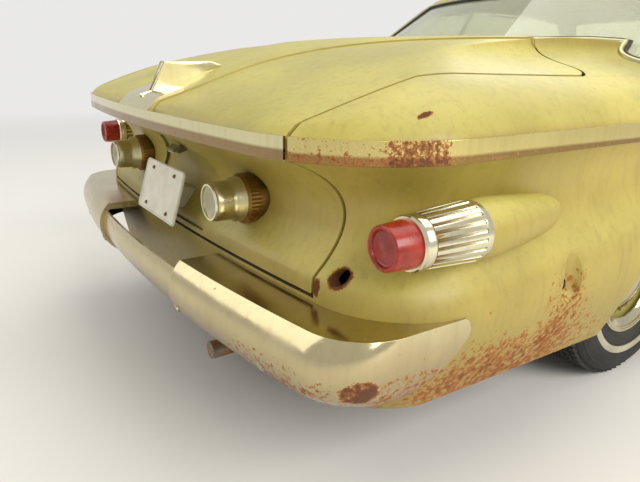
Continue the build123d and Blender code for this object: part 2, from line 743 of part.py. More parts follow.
# Tail lamps in torpedo pods: painted body, fluted bright bezel and red lens
POD_Y = 957.0
POD_Z = 706.0
POD_FRONT_X = -2236.0
BEZEL_REAR_X = -2403.0
LENS_REAR_X = -2470.0
PodSection = namedtuple("PodSection", "x y r")
POD = (
    PodSection(POD_FRONT_X, POD_Y, 62),
    PodSection(-2110, POD_Y - 4, 59),
    PodSection(-2000, POD_Y - 12, 48),
    PodSection(-1935, POD_Y - 20, 31),
    PodSection(-1905, POD_Y - 26, 12),
)
FLUTES = 22
with BuildPart() as pod:
    pod_rings = []
    for ring in POD:
        ring_plane = Plane(origin=(ring.x, ring.y, POD_Z), x_dir=(0, 1, 0), z_dir=(1, 0, 0))
        with BuildSketch(ring_plane) as ring_sketch:
            Circle(ring.r)
        pod_rings.append(ring_sketch.sketch)
    loft(sections=pod_rings)
with BuildPart() as bezel:
    with BuildSketch(Plane.XY):
        with BuildLine():
            Polyline(
                (BEZEL_REAR_X, 0),
                (BEZEL_REAR_X, 53),
                (BEZEL_REAR_X + 5, 56),
                (BEZEL_REAR_X + 20, 56),
                (POD_FRONT_X - 12, 65),
                (POD_FRONT_X, 64),
                (POD_FRONT_X, 0),
                close=True,
            )
        make_face()
    revolve(axis=Axis.X)
with BuildPart() as bezel_flutes:
    for count in range(FLUTES):
        turn = 360 * count / FLUTES
        add(
            long_bar(
                (BEZEL_REAR_X + 22, 58 * cos(radians(turn)), 58 * sin(radians(turn))),
                (POD_FRONT_X - 16, 66.5 * cos(radians(turn)), 66.5 * sin(radians(turn))),
                4.5,
            )
        )
with BuildPart() as fluted_bezel:
    add(bezel.part)
    add(bezel_flutes.part, mode=Mode.SUBTRACT)
with BuildPart() as lens:
    with BuildSketch(Plane.XY):
        with BuildLine():
            Polyline(
                (BEZEL_REAR_X, 0),
                (BEZEL_REAR_X, 51),
                (LENS_REAR_X + 4, 51),
                (LENS_REAR_X, 48),
                (LENS_REAR_X, 43),
                (LENS_REAR_X + 8, 33),
                (LENS_REAR_X + 5, 24),
                (LENS_REAR_X + 14, 12),
                (LENS_REAR_X + 11, 0),
                close=True,
            )
        make_face()
    revolve(axis=Axis.X)
with BuildPart() as tail_lamp_pods:
    add(pod.part)
    add(mirror(pod.part, about=Plane.XZ))
    add(outer, mode=Mode.SUBTRACT)
with BuildPart() as tail_lamp_bezels:
    for side in (-1, 1):
        add(fluted_bezel.part.moved(Location((0, side * POD_Y, POD_Z))))
    add(outer, mode=Mode.SUBTRACT)
with BuildPart() as tail_lamp_lenses:
    for side in (-1, 1):
        add(lens.part.moved(Location((0, side * POD_Y, POD_Z))))

# Bumpers: hollow pressed sections that wrap round the corners
BUMPER_T = 22.0
BUMPER_BOW = 12.0
REAR_BUMPER = (
    Level(345, 345, REAR_X + 52, 925, 960, 900, FRONT_X, 95, 60, 150, 150),
    Level(395, 395, REAR_X + 2, 965, 985, 900, FRONT_X, 95, 60, 150, 150),
    Level(470, 470, REAR_X - BUMPER_BOW, 985, 1000, 900, FRONT_X, 95, 60, 150, 150),
    Level(528, 528, REAR_X + 20, 985, 1000, 900, FRONT_X, 95, 60, 150, 150),
)
FRONT_BUMPER = (
    Level(345, 345, REAR_X, 925, 960, 925, FRONT_X - 52, 95, 95, 150, 150),
    Level(395, 395, REAR_X, 965, 985, 955, FRONT_X - 2, 95, 95, 150, 150),
    Level(470, 470, REAR_X, 985, 1000, 968, FRONT_X + BUMPER_BOW, 95, 95, 150, 150),
    Level(528, 528, REAR_X, 985, 1000, 968, FRONT_X - 20, 95, 95, 150, 150),
)
WING_REACH = 420.0
CENTRE_HALF = 348.0


def bumper(levels, end_x, inward):
    """A bumper: heavy side sections with pointed wings, and a slimmer centre section."""
    wing = (
        (end_x - 20 * inward, 330),
        (end_x + (WING_REACH - 148) * inward, 330),
        (end_x + (WING_REACH - 60) * inward, 422),
        (end_x + (WING_REACH - 8) * inward, 480),
        (end_x + WING_REACH * inward, 500),
        (end_x + (WING_REACH - 8) * inward, 520),
        (end_x + (WING_REACH - 30) * inward, 540),
        (end_x - 20 * inward, 540),
    )
    with BuildPart() as hollow:
        add(stack(levels, BUMPER_T))
        add(block(-3000, 3000, -1100, 1100, 300, 528 - BUMPER_T), mode=Mode.INTERSECT)
    with BuildPart() as centre:
        add(stack(levels, 14))
        add(block(-3000, 3000, -CENTRE_HALF, CENTRE_HALF, 372, 500), mode=Mode.INTERSECT)
    with BuildPart() as solid:
        add(stack(levels, 0))
        add(block(-3000, 3000, -CENTRE_HALF, CENTRE_HALF, 300, 600), mode=Mode.SUBTRACT)
        add(centre.part)
        add(hollow.part, mode=Mode.SUBTRACT)
        add(outer, mode=Mode.SUBTRACT)
        add(side_prism(wing, -1100, 1100), mode=Mode.INTERSECT)
    return solid.part


with BuildPart() as bumper_rear:
    add(bumper(REAR_BUMPER, REAR_X, 1))
with BuildPart() as bumper_front:
    add(bumper(FRONT_BUMPER, FRONT_X, -1))

# Grille bars that follow the nose, with lamp panels at the ends
GRILLE_BARS = 7
GRILLE_SET = 22.0
GRILLE_PANEL_T = 10.0
LAMP_PANEL_Y = 520.0
LAMP_CENTRES = (620.0, 765.0)
LAMP_FRONTS = (FRONT_X - 128.0, FRONT_X - 145.0)
HEADLAMP_R = 68.0
HEADLAMP_Z = (GRILLE_BOTTOM_Z + GRILLE_TOP_Z) / 2


def nose_band(z0, z1, set_back, depth, half):
    """A band behind the nose at a set distance from its face."""
    flat = CREASE._replace(z_rear=z0, z_front=z0)
    with BuildPart() as band:
        with BuildSketch(Plane.XY.offset(z0)):
            add(outline(flat, set_back))
            add(outline(flat, set_back + depth), mode=Mode.SUBTRACT)
        extrude(amount=z1 - z0)
        add(block(NOSE_X - 60, FRONT_X, -half, half, z0 - 1, z1 + 1), mode=Mode.INTERSECT)
    return band.part


with BuildPart() as grille:
    add(inner)
    add(
        block(NOSE_X, FRONT_X, -GRILLE_HALF - 10, GRILLE_HALF + 10, GRILLE_BOTTOM_Z - 20, GRILLE_TOP_Z + 15),
        mode=Mode.INTERSECT,
    )
    add(inner.moved(Location((-GRILLE_PANEL_T, 0, 0))), mode=Mode.SUBTRACT)
    add(
        block(NOSE_X - 50, FRONT_X, -LAMP_PANEL_Y, LAMP_PANEL_Y, GRILLE_BOTTOM_Z + 22, GRILLE_TOP_Z - 22),
        mode=Mode.SUBTRACT,
    )
    bar_pitch = (GRILLE_TOP_Z - GRILLE_BOTTOM_Z - 44) / (GRILLE_BARS + 1)
    for count in range(GRILLE_BARS):
        low = GRILLE_BOTTOM_Z + 22 + bar_pitch * (count + 1) - 4
        add(nose_band(low, low + 8, GRILLE_SET, 34, LAMP_PANEL_Y + 12))
    for side in (-1, 1):
        for lamp_y in LAMP_CENTRES:
            with Locations(Location((NOSE_X, side * lamp_y, HEADLAMP_Z), (0, 90, 0))):
                Cylinder(HEADLAMP_R + SEAT_FIT, 400, mode=Mode.SUBTRACT)
with BuildPart() as headlamps:
    for side in (-1, 1):
        for lamp_y, lamp_front in zip(LAMP_CENTRES, LAMP_FRONTS):
            with Locations(Location((lamp_front - 90, side * lamp_y, HEADLAMP_Z), (0, 90, 0))):
                Cylinder(HEADLAMP_R, 90, align=(Align.CENTER, Align.CENTER, Align.MIN))

# Rear wheelhouses and front aprons
REAR_WALL_Y = 590.0
FRONT_WALL_Y = 495.0


def wheelhouse(x, wall_y, low_z, notch_z):
    """A rounded tub over a wheel, from its inner wall out to the skin, open round the axle."""
    with BuildPart() as tub:
        add(cross_bar(x, AXLE_Z, WHEELHOUSE_R + PLATE_T, wall_y, 1100))
        add(cross_bar(x, AXLE_Z, WHEELHOUSE_R, wall_y + PLATE_T, 1100), mode=Mode.SUBTRACT)
        add(inner, mode=Mode.INTERSECT)
        add(block(x - 600, x + 600, 0, 1100, 0, low_z), mode=Mode.SUBTRACT)
        add(block(x - 180, x + 180, 0, wall_y + PLATE_T, 0, notch_z), mode=Mode.SUBTRACT)
    return tub.part


def wheel_well(side):
    """The space that a rear wheelhouse takes out of the floors and the seat."""
    return cross_bar(REAR_AXLE_X, AXLE_Z, WHEELHOUSE_R + PLATE_T, 845 * side - 255, 845 * side + 255)


with BuildPart() as wheelhouses:
    rear_tub = wheelhouse(REAR_AXLE_X, REAR_WALL_Y, FLOOR_Z + FLOOR_T, 480)
    front_tub = wheelhouse(FRONT_AXLE_X, FRONT_WALL_Y, AXLE_Z + 60, AXLE_Z + 240)
    for tub in (rear_tub, front_tub):
        add(tub)
        add(mirror(tub, about=Plane.XZ))

# Floor with sills, tunnel and toe board
with BuildPart() as sill_left:
    add(outer)
    add(
        block(
            QUARTER_FRONT_X,
            FENDER_REAR_X,
            DOOR_INNER_Y,
            1100,
            FLOOR_Z,
            DOOR_BOTTOM_Z - SHUT_GAP,
        ),
        mode=Mode.INTERSECT,
    )
with BuildPart() as floor_pan:
    add(block(KICK_X, FIREWALL_X, -DOOR_INNER_Y, DOOR_INNER_Y, FLOOR_Z, FLOOR_Z + FLOOR_T))
    add(sill_left.part)
    add(mirror(sill_left.part, about=Plane.XZ))
    add(block(KICK_X, FIREWALL_X, -TUNNEL_HALF, TUNNEL_HALF, 0, 400), mode=Mode.SUBTRACT)
    tunnel = (
        (KICK_X, FLOOR_Z),
        (FIREWALL_X, FLOOR_Z),
        (FIREWALL_X, 560),
        (800, 520),
        (500, 460),
        (KICK_X, 460),
    )
    add(side_prism(tunnel, -TUNNEL_OUTER, TUNNEL_OUTER))
    bore = (
        (KICK_X - 1, 200),
        (FIREWALL_X + 1, 200),
        (FIREWALL_X + 1, 548),
        (800, 508),
        (500, 448),
        (KICK_X - 1, 448),
    )
    add(side_prism(bore, -TUNNEL_HALF, TUNNEL_HALF), mode=Mode.SUBTRACT)
    toe = (
        (FIREWALL_X - 170, FLOOR_Z + FLOOR_T),
        (FIREWALL_X - 158, FLOOR_Z + FLOOR_T),
        (FIREWALL_X, 470),
        (FIREWALL_X, 485),
    )
    for side_y in (-DOOR_INNER_Y, TUNNEL_HALF):
        add(side_prism(toe, side_y, side_y + DOOR_INNER_Y - TUNNEL_HALF))
    for side in (-1, 1):
        add(wheel_well(side), mode=Mode.SUBTRACT)

# Boot floor with the kick-up over the axle and the bulkhead behind the seat
with BuildPart() as shelf:
    add(block(SHELF_REAR_X, -1058, -770, 770, SHELF_Z - PLATE_T, SHELF_Z))
    add(block(SHELF_REAR_X, SHELF_REAR_X + PLATE_T, -770, 770, SHELF_Z, BODY_TOP_Z))
    add(inner, mode=Mode.INTERSECT)

with BuildPart() as boot_floor:
    add(inner)
    add(block(BOOT_REAR_X, KICK_X, -1000, 1000, BOOT_FLOOR_Z, BOOT_FLOOR_TOP), mode=Mode.INTERSECT)
    add(block(KICK_X, KICK_X + PLATE_T, -DOOR_INNER_Y, DOOR_INNER_Y, FLOOR_Z + FLOOR_T, BOOT_FLOOR_TOP))
    add(block(-1070, -1058, -REAR_WALL_Y, REAR_WALL_Y, BOOT_FLOOR_Z, SHELF_Z))
    add(shelf.part)
    add(block(KICK_X - 5, KICK_X + 20, -TUNNEL_OUTER, TUNNEL_OUTER, 200, 460), mode=Mode.SUBTRACT)
    for side in (-1, 1):
        add(wheel_well(side), mode=Mode.SUBTRACT)

# Two long rails under the floor with a cross member
with BuildPart() as chassis_rails:
    for rail_y in (-RAIL_Y - RAIL_W, RAIL_Y):
        add(block(RAIL_REAR_X, RAIL_FRONT_X, rail_y, rail_y + RAIL_W, RAIL_LOW_Z, FLOOR_Z))
    add(block(560, 640, -RAIL_Y, RAIL_Y, 243, FLOOR_Z))

# Rear ends of the rails, kicked up over the axle, with the rear cross member
rear_rail_side = (
    (-2440, 440),
    (-1075, 440),
    (-1030, RAIL_LOW_Z),
    (RAIL_REAR_X, RAIL_LOW_Z),
    (RAIL_REAR_X, BOOT_FLOOR_Z),
    (-2440, BOOT_FLOOR_Z),
)
with BuildPart() as rear_rails:
    for rail_y in (-RAIL_Y - RAIL_W, RAIL_Y):
        add(side_prism(rear_rail_side, rail_y, rail_y + RAIL_W))
    add(block(-2440, -2370, -RAIL_Y, RAIL_Y, 450, BOOT_FLOOR_Z))

# Front ends of the rails, risen beside the engine, with the front cross member
front_rail_side = (
    (RAIL_FRONT_X, RAIL_LOW_Z),
    (1250, RAIL_LOW_Z),
    (1420, 300),
    (2300, 300),
    (2300, 380),
    (1400, 380),
    (RAIL_FRONT_X, FLOOR_Z),
)
with BuildPart() as front_rails:
    for rail_y in (-RAIL_Y - RAIL_W, RAIL_Y):
        add(side_prism(front_rail_side, rail_y, rail_y + RAIL_W))
    add(block(2240, 2300, -RAIL_Y, RAIL_Y, 300, 380))

# Front suspension: cross member, lower and upper arms, torsion bars
KING_Y = 715.0
LOWER_ARM_Z = 214.0
UPPER_ARM_Z = 486.0
ARM_T = 22.0
KING_R = 10.0


def arm(z, pivot_y, half_width):
    """A suspension arm from its inner pivot to the eye round the king pin."""
    with BuildPart() as solid:
        with BuildSketch(Plane.XY.offset(z - ARM_T / 2)):
            with BuildLine():
                Polyline(
                    (FRONT_AXLE_X - half_width, pivot_y),
                    (FRONT_AXLE_X + half_width, pivot_y),
                    (FRONT_AXLE_X + 22, KING_Y),
                    (FRONT_AXLE_X - 22, KING_Y),
                    close=True,
                )
            make_face()
            with Locations((FRONT_AXLE_X, KING_Y)):
                Circle(22)
                Circle(KING_R + PIN_FIT, mode=Mode.SUBTRACT)
        extrude(amount=ARM_T)
    return solid.part


with BuildPart() as front_suspension:
    add(block(FRONT_AXLE_X - 70, FRONT_AXLE_X + 70, -531, 531, 200, 300))
    for z, pivot_y, half_width in ((LOWER_ARM_Z, 440, 60), (UPPER_ARM_Z, 500, 110)):
        add(arm(z, pivot_y, half_width))
        add(mirror(arm(z, pivot_y, half_width), about=Plane.XZ))
    for side in (-1, 1):
        tower_y = side * 511
        add(block(FRONT_AXLE_X - 60, FRONT_AXLE_X + 60, tower_y - 20, tower_y + 20, 240, UPPER_ARM_Z + 15))
        add(long_bar((FRONT_AXLE_X - 40, side * 400, 256), (640, side * 400, 256), 11))

# Steering knuckles with king pin ends, backing plate, stub axle and steering arm
with BuildPart() as knuckle_left:
    low, high = LOWER_ARM_Z + 16, UPPER_ARM_Z - 16
    add(block(FRONT_AXLE_X - 20, FRONT_AXLE_X + 20, KING_Y - 13, KING_Y + 13, low, high))
    with Locations((FRONT_AXLE_X, KING_Y, (LOWER_ARM_Z + UPPER_ARM_Z) / 2)):
        Cylinder(KING_R, UPPER_ARM_Z - LOWER_ARM_Z + ARM_T)
    add(cross_bar(FRONT_AXLE_X, AXLE_Z, 40, KING_Y, FRONT_TRACK_HALF - 32))
    add(cross_bar(FRONT_AXLE_X, AXLE_Z, 118, FRONT_TRACK_HALF - 36, FRONT_TRACK_HALF - 32))
    add(cross_bar(FRONT_AXLE_X, AXLE_Z, STUB_R, KING_Y, FRONT_TRACK_HALF + 14))
    with BuildSketch(Plane.XY.offset(286)):
        with BuildLine():
            Polyline(
                (FRONT_AXLE_X + 16, KING_Y - 10),
                (FRONT_AXLE_X - 16, KING_Y - 10),
                (FRONT_AXLE_X - 160, KING_Y - 60),
                (FRONT_AXLE_X - 150, KING_Y - 84),
                close=True,
            )
        make_face()
    extrude(amount=16)
with BuildPart() as knuckle_right:
    add(mirror(knuckle_left.part, about=Plane.XZ))

# Engine and gearbox as plain blocks, and the driveshaft to the rear axle
ENGINE_REAR_X = 1230.0
with BuildPart() as engine:
    add(block(ENGINE_REAR_X, 1930, -270, 270, 302, 880))
    fillet(engine.edges().filter_by(Axis.X), 60)
    with BuildSketch(Plane.YZ.offset(ENGINE_REAR_X)):
        with Locations((0, 400)):
            Circle(130)
    with BuildSketch(Plane.YZ.offset(640)):
        with Locations((0, AXLE_Z)):
            Circle(70)
    loft()
SHAFT_R = 38.0
with BuildPart() as driveshaft:
    add(long_bar((640, 0, AXLE_Z), (REAR_AXLE_X + 150, 0, AXLE_Z), SHAFT_R))

# Rear axle on leaf springs
with BuildPart() as rear_axle:
    add(cross_bar(REAR_AXLE_X, AXLE_Z, 38, 34 - REAR_TRACK_HALF, REAR_TRACK_HALF - 34))
    with Locations((REAR_AXLE_X, 0, AXLE_Z)):
        Sphere(82)
    with Locations(Location((REAR_AXLE_X, 0, AXLE_Z), (0, 90, 0))):
        Cone(82, 45, 150, align=(Align.CENTER, Align.CENTER, Align.MIN))
    for side in (-1, 1):
        mid = side * (REAR_TRACK_HALF - 34)
        add(cross_bar(REAR_AXLE_X, AXLE_Z, 118, mid - 2, mid + 2))
    add(cross_bar(REAR_AXLE_X, AXLE_Z, STUB_R, -REAR_TRACK_HALF - 14, REAR_TRACK_HALF + 14))
SPRING_Y = 515.0
SPRING_W = 60.0
SPRING_T = 28.0
with BuildPart() as spring:
    with BuildSketch(Plane.XZ.offset(-SPRING_Y)):
        with BuildLine():
            low = ThreePointArc((-620, 230), (REAR_AXLE_X, AXLE_Z - 38 - SPRING_T), (-1900, 395))
            top = ThreePointArc((-620, 230 + SPRING_T), (REAR_AXLE_X, AXLE_Z - 38), (-1900, 395 + SPRING_T))
            Line(low @ 0, top @ 0)
            Line(low @ 1, top @ 1)
        make_face()
    extrude(amount=-SPRING_W)
    add(block(-650, -595, SPRING_Y, SPRING_Y + SPRING_W, 225, FLOOR_Z))
    add(block(-1925, -1885, SPRING_Y, SPRING_Y + SPRING_W, 385, BOOT_FLOOR_Z))
with BuildPart() as leaf_springs:
    add(spring.part)
    add(mirror(spring.part, about=Plane.XZ))
    add(rear_axle.part, mode=Mode.SUBTRACT)

# Wheel and tyre profiles, turned about the hub: distance from the hub and distance outwards
with BuildPart() as wheel_shape:
    with BuildSketch(Plane.XY):
        with BuildLine():
            Polyline(
                (RIM_R + RIM_FLANGE, -RIM_W / 2 - RIM_T),
                (RIM_R + RIM_FLANGE, -RIM_W / 2),
                (RIM_R, -RIM_W / 2),
                (RIM_R, -RIM_W / 2 + 24),
                (RIM_R - 14, -RIM_W / 2 + 34),
                (RIM_R - 14, RIM_W / 2 - 34),
                (RIM_R, RIM_W / 2 - 24),
                (RIM_R, RIM_W / 2),
                (RIM_R + RIM_FLANGE, RIM_W / 2),
                (RIM_R + RIM_FLANGE, RIM_W / 2 + RIM_T),
                (RIM_R - RIM_T, RIM_W / 2 + RIM_T),
                (RIM_R - RIM_T, RIM_W / 2 - 22),
                (RIM_R - 20, RIM_W / 2 - 32),
                (RIM_R - 20, DISC_Y + 14),
                (CAP_R + 6, DISC_Y + 10),
                (CAP_R, DISC_Y + 14),
            )
            ThreePointArc((CAP_R, DISC_Y + 14), on_dome(CAP_R, DISC_Y + 14, DISC_Y + 52), (0, DISC_Y + 52))
            Polyline(
                (0, DISC_Y + 52),
                (0, DISC_Y),
                (STUB_R + PIN_FIT, DISC_Y),
                (STUB_R + PIN_FIT, -20),
                (HUB_R, -20),
                (HUB_R, DISC_Y - 8),
                (DRUM_R - 10, DISC_Y - 8),
                (DRUM_R - 10, -26),
                (DRUM_R, -26),
                (DRUM_R, DISC_Y),
                (RIM_R - 20, DISC_Y + 6),
                (RIM_R - 20, -RIM_W / 2 + 32),
                (RIM_R - RIM_T, -RIM_W / 2 + 22),
                (RIM_R - RIM_T, -RIM_W / 2 - RIM_T),
                (RIM_R + RIM_FLANGE, -RIM_W / 2 - RIM_T),
            )
        make_face()
    revolve(axis=Axis.Y)
with BuildPart() as tyre_shape:
    with BuildSketch(Plane.XY):
        with BuildLine():
            bead, wall = RIM_R + SEAT_FIT, RIM_W / 2 - SEAT_FIT
            over = bead + RIM_FLANGE
            Polyline((over, wall), (bead, wall), (bead, -wall), (over, -wall))
            ThreePointArc((over, -wall), (RIM_R + 80, -TYRE_W / 2), (TYRE_R - 12, -TREAD_W / 2 - 8))
            Polyline((TYRE_R - 12, -TREAD_W / 2 - 8), (TYRE_R, -TREAD_W / 2), (TYRE_R, TREAD_W / 2))
            Line((TYRE_R, TREAD_W / 2), (TYRE_R - 12, TREAD_W / 2 + 8))
            ThreePointArc((TYRE_R - 12, TREAD_W / 2 + 8), (RIM_R + 80, TYRE_W / 2), (over, wall))
        make_face()
    revolve(axis=Axis.Y)
WheelPlace = namedtuple("WheelPlace", "name x y")
WHEEL_PLACES = (
    WheelPlace("front_left", FRONT_AXLE_X, FRONT_TRACK_HALF),
    WheelPlace("front_right", FRONT_AXLE_X, -FRONT_TRACK_HALF),
    WheelPlace("rear_left", REAR_AXLE_X, REAR_TRACK_HALF),
    WheelPlace("rear_right", REAR_AXLE_X, -REAR_TRACK_HALF),
)
rolling = {}
for place in WHEEL_PLACES:
    for kind, shape in (("wheel", wheel_shape), ("tyre", tyre_shape)):
        turned = shape.part if place.y > 0 else mirror(shape.part, about=Plane.XZ)
        with BuildPart() as rolling_piece:
            add(turned.moved(Location((place.x, place.y, AXLE_Z))))
        rolling[f"{kind}_{place.name}"] = rolling_piece

# Fuel tank, exhaust and radiator
with BuildPart() as fuel_tank:
    add(block(-2340, -1800, -RAIL_Y + 10, RAIL_Y - 10, 335, BOOT_FLOOR_Z))
    fillet(fuel_tank.edges().filter_by(Axis.Z), 50)
PIPE_R = 25.0
PIPE_Z = 213.0
MUFFLER_Y = -290.0
with BuildPart() as exhaust:
    with BuildLine() as pipe_line:
        Polyline(
            (1300, MUFFLER_Y, 320),
            (1100, MUFFLER_Y, PIPE_Z),
            (-1000, MUFFLER_Y, PIPE_Z),
            (-1110, MUFFLER_Y, 447),
            (-1330, MUFFLER_Y, 447),
            (-1560, -360, 285),
            (-1760, -360, 250),
            (-2560, -360, 250),
        )
    with BuildSketch(Plane(origin=pipe_line.line @ 0, z_dir=pipe_line.line % 0)):
        Circle(PIPE_R)
    sweep(transition=Transition.RIGHT)
    with Locations(Location((-780, MUFFLER_Y, 226), (0, 90, 0))):
        Cylinder(56, 620, align=(Align.CENTER, Align.CENTER, Align.MIN))
    add(block(1290, 1360, MUFFLER_Y - 30, -260, 302, 350))
    add(engine.part, mode=Mode.SUBTRACT)
with BuildPart() as radiator:
    add(block(2240, 2300, -340, 340, 400, 850))
    add(block(2240, 2252, -700, 700, 380, 870))

# Dashboard, steering column and wheel
DASH_HALF = 820.0
COLUMN_Y = 380.0
COLUMN_SLOPE = 27.0
WHEEL_CENTRE = (470.0, COLUMN_Y, 905.0)
STEER_R = 205.0
with BuildPart() as dashboard:
    dash = ((FIREWALL_X, 955), (800, 985), (730, 955), (760, 860), (800, 760), (900, 740), (FIREWALL_X, 760))
    add(side_prism(dash, -DASH_HALF, DASH_HALF))
    add(inner, mode=Mode.INTERSECT)
axis_dir = (cos(radians(COLUMN_SLOPE)), 0, -sin(radians(COLUMN_SLOPE)))
column_plane = Plane(origin=WHEEL_CENTRE, x_dir=(0, 1, 0), z_dir=axis_dir)
with BuildPart() as steering_column:
    with BuildSketch(column_plane.offset(40)):
        Circle(30)
    extrude(amount=900)
    add(block(0, FIREWALL_X, 0, 1000, 300, 1200), mode=Mode.INTERSECT)
    add(dashboard.part, mode=Mode.SUBTRACT)
with BuildPart() as steering_wheel:
    with Locations(column_plane.location):
        Torus(STEER_R - 12, 12)
    with BuildSketch(column_plane.offset(8)):
        Rectangle(2 * STEER_R - 24, 26)
        Circle(48)
    extrude(amount=14)
    with BuildSketch(column_plane.offset(8)):
        Circle(28)
    extrude(amount=32 - SEAT_FIT)

# Seats
SEAT_HALF = 700.0
seat_tunnel = block(KICK_X, FIREWALL_X, -TUNNEL_OUTER, TUNNEL_OUTER, 200, 461)
with BuildPart() as front_seat:
    cushion = ((-150, 300), (330, 300), (400, 420), (410, 520), (380, 555), (-120, 530), (-150, 520))
    backrest = ((-150, 420), (-120, 530), (-215, 900), (-260, 930), (-320, 905), (-250, 420))
    add(side_prism(cushion, -SEAT_HALF, SEAT_HALF))
    add(side_prism(backrest, -SEAT_HALF, SEAT_HALF))
    add(seat_tunnel, mode=Mode.SUBTRACT)
with BuildPart() as rear_seat:
    back_x = KICK_X + PLATE_T
    cushion = ((back_x, 300), (-480, 300), (-430, 420), (-440, 530), (-900, 510), (back_x, 510))
    backrest = ((-940, 520), (-880, 545), (-960, 900), (-1010, 930), (-1058, 920), (-1058, 520))
    add(side_prism(cushion, -SEAT_HALF, SEAT_HALF))
    add(side_prism(backrest, -SEAT_HALF, SEAT_HALF))
    for side in (-1, 1):
        add(wheel_well(side), mode=Mode.SUBTRACT)
    add(seat_tunnel, mode=Mode.SUBTRACT)

FINISHED = {
    "floor_pan": floor_pan,
    "boot_floor": boot_floor,
    "chassis_rails": chassis_rails,
    "rear_rails": rear_rails,
    "front_rails": front_rails,
    "quarter_left": quarter_left,
    "quarter_right": quarter_right,
    "rear_lower_panel": rear_lower_panel,
    "upper_back_panel": upper_back_panel,
    "roof": roof,
    "cowl": cowl,
    "fender_left": fender_left,
    "fender_right": fender_right,
    "front_panel": front_panel,
    "grille": grille,
    "headlamps": headlamps,
    "bumper_front": bumper_front,
    "bumper_rear": bumper_rear,
    "windshield": windshield,
    "rear_window": rear_window,
    "quarter_glass": quarter_glass,
    "wheelhouses": wheelhouses,
    "tail_lamp_pods": tail_lamp_pods,
    "tail_lamp_bezels": tail_lamp_bezels,
    "tail_lamp_lenses": tail_lamp_lenses,
    "side_strips": side_strips,
    "fuel_tank": fuel_tank,
    "exhaust": exhaust,
    "engine": engine,
    "driveshaft": driveshaft,
    "rear_axle": rear_axle,
    "leaf_springs": leaf_springs,
    "front_suspension": front_suspension,
    "radiator": radiator,
    "dashboard": dashboard,
    "steering_column": steering_column,
    "front_seat": front_seat,
    "rear_seat": rear_seat,
    "hood": hood,
    "trunk_lid": trunk_lid,
    "lid_trim": lid_trim,
    "reverse_lamps": reverse_lamps,
    "licence_plate": licence_plate,
    "door_left": door_left,
    "door_right": door_right,
    "door_glass_left": door_glass_left,
    "door_glass_right": door_glass_right,
    "door_strip_left": door_strip_left,
    "door_strip_right": door_strip_right,
    "steering_wheel": steering_wheel,
    "knuckle_left": knuckle_left,
    "knuckle_right": knuckle_right,
}
FINISHED.update(rolling)
for name, piece in FINISHED.items():
    piece.part.label = name
    export_step(piece.part, f"parts/{name}.step")
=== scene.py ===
# %% [markdown]
# # Dressing an old two-door hardtop
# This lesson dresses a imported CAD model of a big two-door car of the early 1960s, seen from its right
# rear corner. The car is old: faded olive paint, golden bright metal, rust where water has stood.
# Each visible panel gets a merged, smoothed copy that stands for its node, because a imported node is
# made of loose triangles.

import json
import math

import bmesh
import bpy
import numpy as np
from mathutils import Matrix, Vector
from mathutils.bvhtree import BVHTree

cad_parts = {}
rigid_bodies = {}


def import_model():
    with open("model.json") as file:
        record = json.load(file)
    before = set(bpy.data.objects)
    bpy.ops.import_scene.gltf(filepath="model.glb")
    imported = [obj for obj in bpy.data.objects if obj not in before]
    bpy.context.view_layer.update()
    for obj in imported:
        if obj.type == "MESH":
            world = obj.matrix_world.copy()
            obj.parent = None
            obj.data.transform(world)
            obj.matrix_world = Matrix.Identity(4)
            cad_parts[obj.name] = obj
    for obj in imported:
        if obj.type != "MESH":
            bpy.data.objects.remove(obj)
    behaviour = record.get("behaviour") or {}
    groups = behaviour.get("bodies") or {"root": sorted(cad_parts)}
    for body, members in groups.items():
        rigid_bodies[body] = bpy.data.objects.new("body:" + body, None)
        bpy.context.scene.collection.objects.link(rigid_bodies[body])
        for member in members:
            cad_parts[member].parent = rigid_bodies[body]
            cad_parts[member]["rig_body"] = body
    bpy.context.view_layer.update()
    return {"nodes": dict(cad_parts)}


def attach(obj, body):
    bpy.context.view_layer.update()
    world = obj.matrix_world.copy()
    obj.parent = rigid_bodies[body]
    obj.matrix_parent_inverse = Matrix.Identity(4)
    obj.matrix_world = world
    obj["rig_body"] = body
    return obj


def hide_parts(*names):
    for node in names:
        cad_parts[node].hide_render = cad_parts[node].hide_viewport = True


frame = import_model()
cad_nodes = frame["nodes"]
CAR = "car_body"
SIDES = {"left": 1, "right": -1}

# %% [markdown]
# ## The camera
# The photograph was taken standing behind the right rear corner, a little above the boot lid. Place
# and lens were worked out from the plate and the lamps. A camera looks along its own -Z, so its axes
# are built from the look direction, and then rolled by the small tilt of the picture.

# %% Set the camera at the photograph's angle
CAMERA_PLACE = Vector((-3.119, -1.697, 1.034))
CAMERA_YAW, CAMERA_PITCH, CAMERA_ROLL = (math.radians(turn) for turn in (55.29, 17.81, 1.19))
FOCAL_PIXELS = 565.9
PICTURE_WIDTH = 640


def new_object(name, data):
    """A scene object that holds the data."""
    made = bpy.data.objects.new(name, data)
    bpy.context.scene.collection.objects.link(made)
    return made


ahead = Vector((math.cos(CAMERA_YAW), math.sin(CAMERA_YAW), 0))
look = ahead * math.cos(CAMERA_PITCH) - Vector((0, 0, math.sin(CAMERA_PITCH)))
level_right = Vector((math.sin(CAMERA_YAW), -math.cos(CAMERA_YAW), 0))
level_up = level_right.cross(look)
right = level_right * math.cos(CAMERA_ROLL) + level_up * math.sin(CAMERA_ROLL)
up = level_up * math.cos(CAMERA_ROLL) - level_right * math.sin(CAMERA_ROLL)
camera_data = bpy.data.cameras.new("photo_camera")
camera_data.sensor_width = 36.0
camera_data.lens = FOCAL_PIXELS / PICTURE_WIDTH * camera_data.sensor_width
camera = new_object("photo_camera", camera_data)
camera.matrix_world = Matrix.Translation(CAMERA_PLACE) @ Matrix((right, up, -look)).transposed().to_4x4()
bpy.context.scene.camera = camera
print("lens", round(camera_data.lens, 2), "mm")

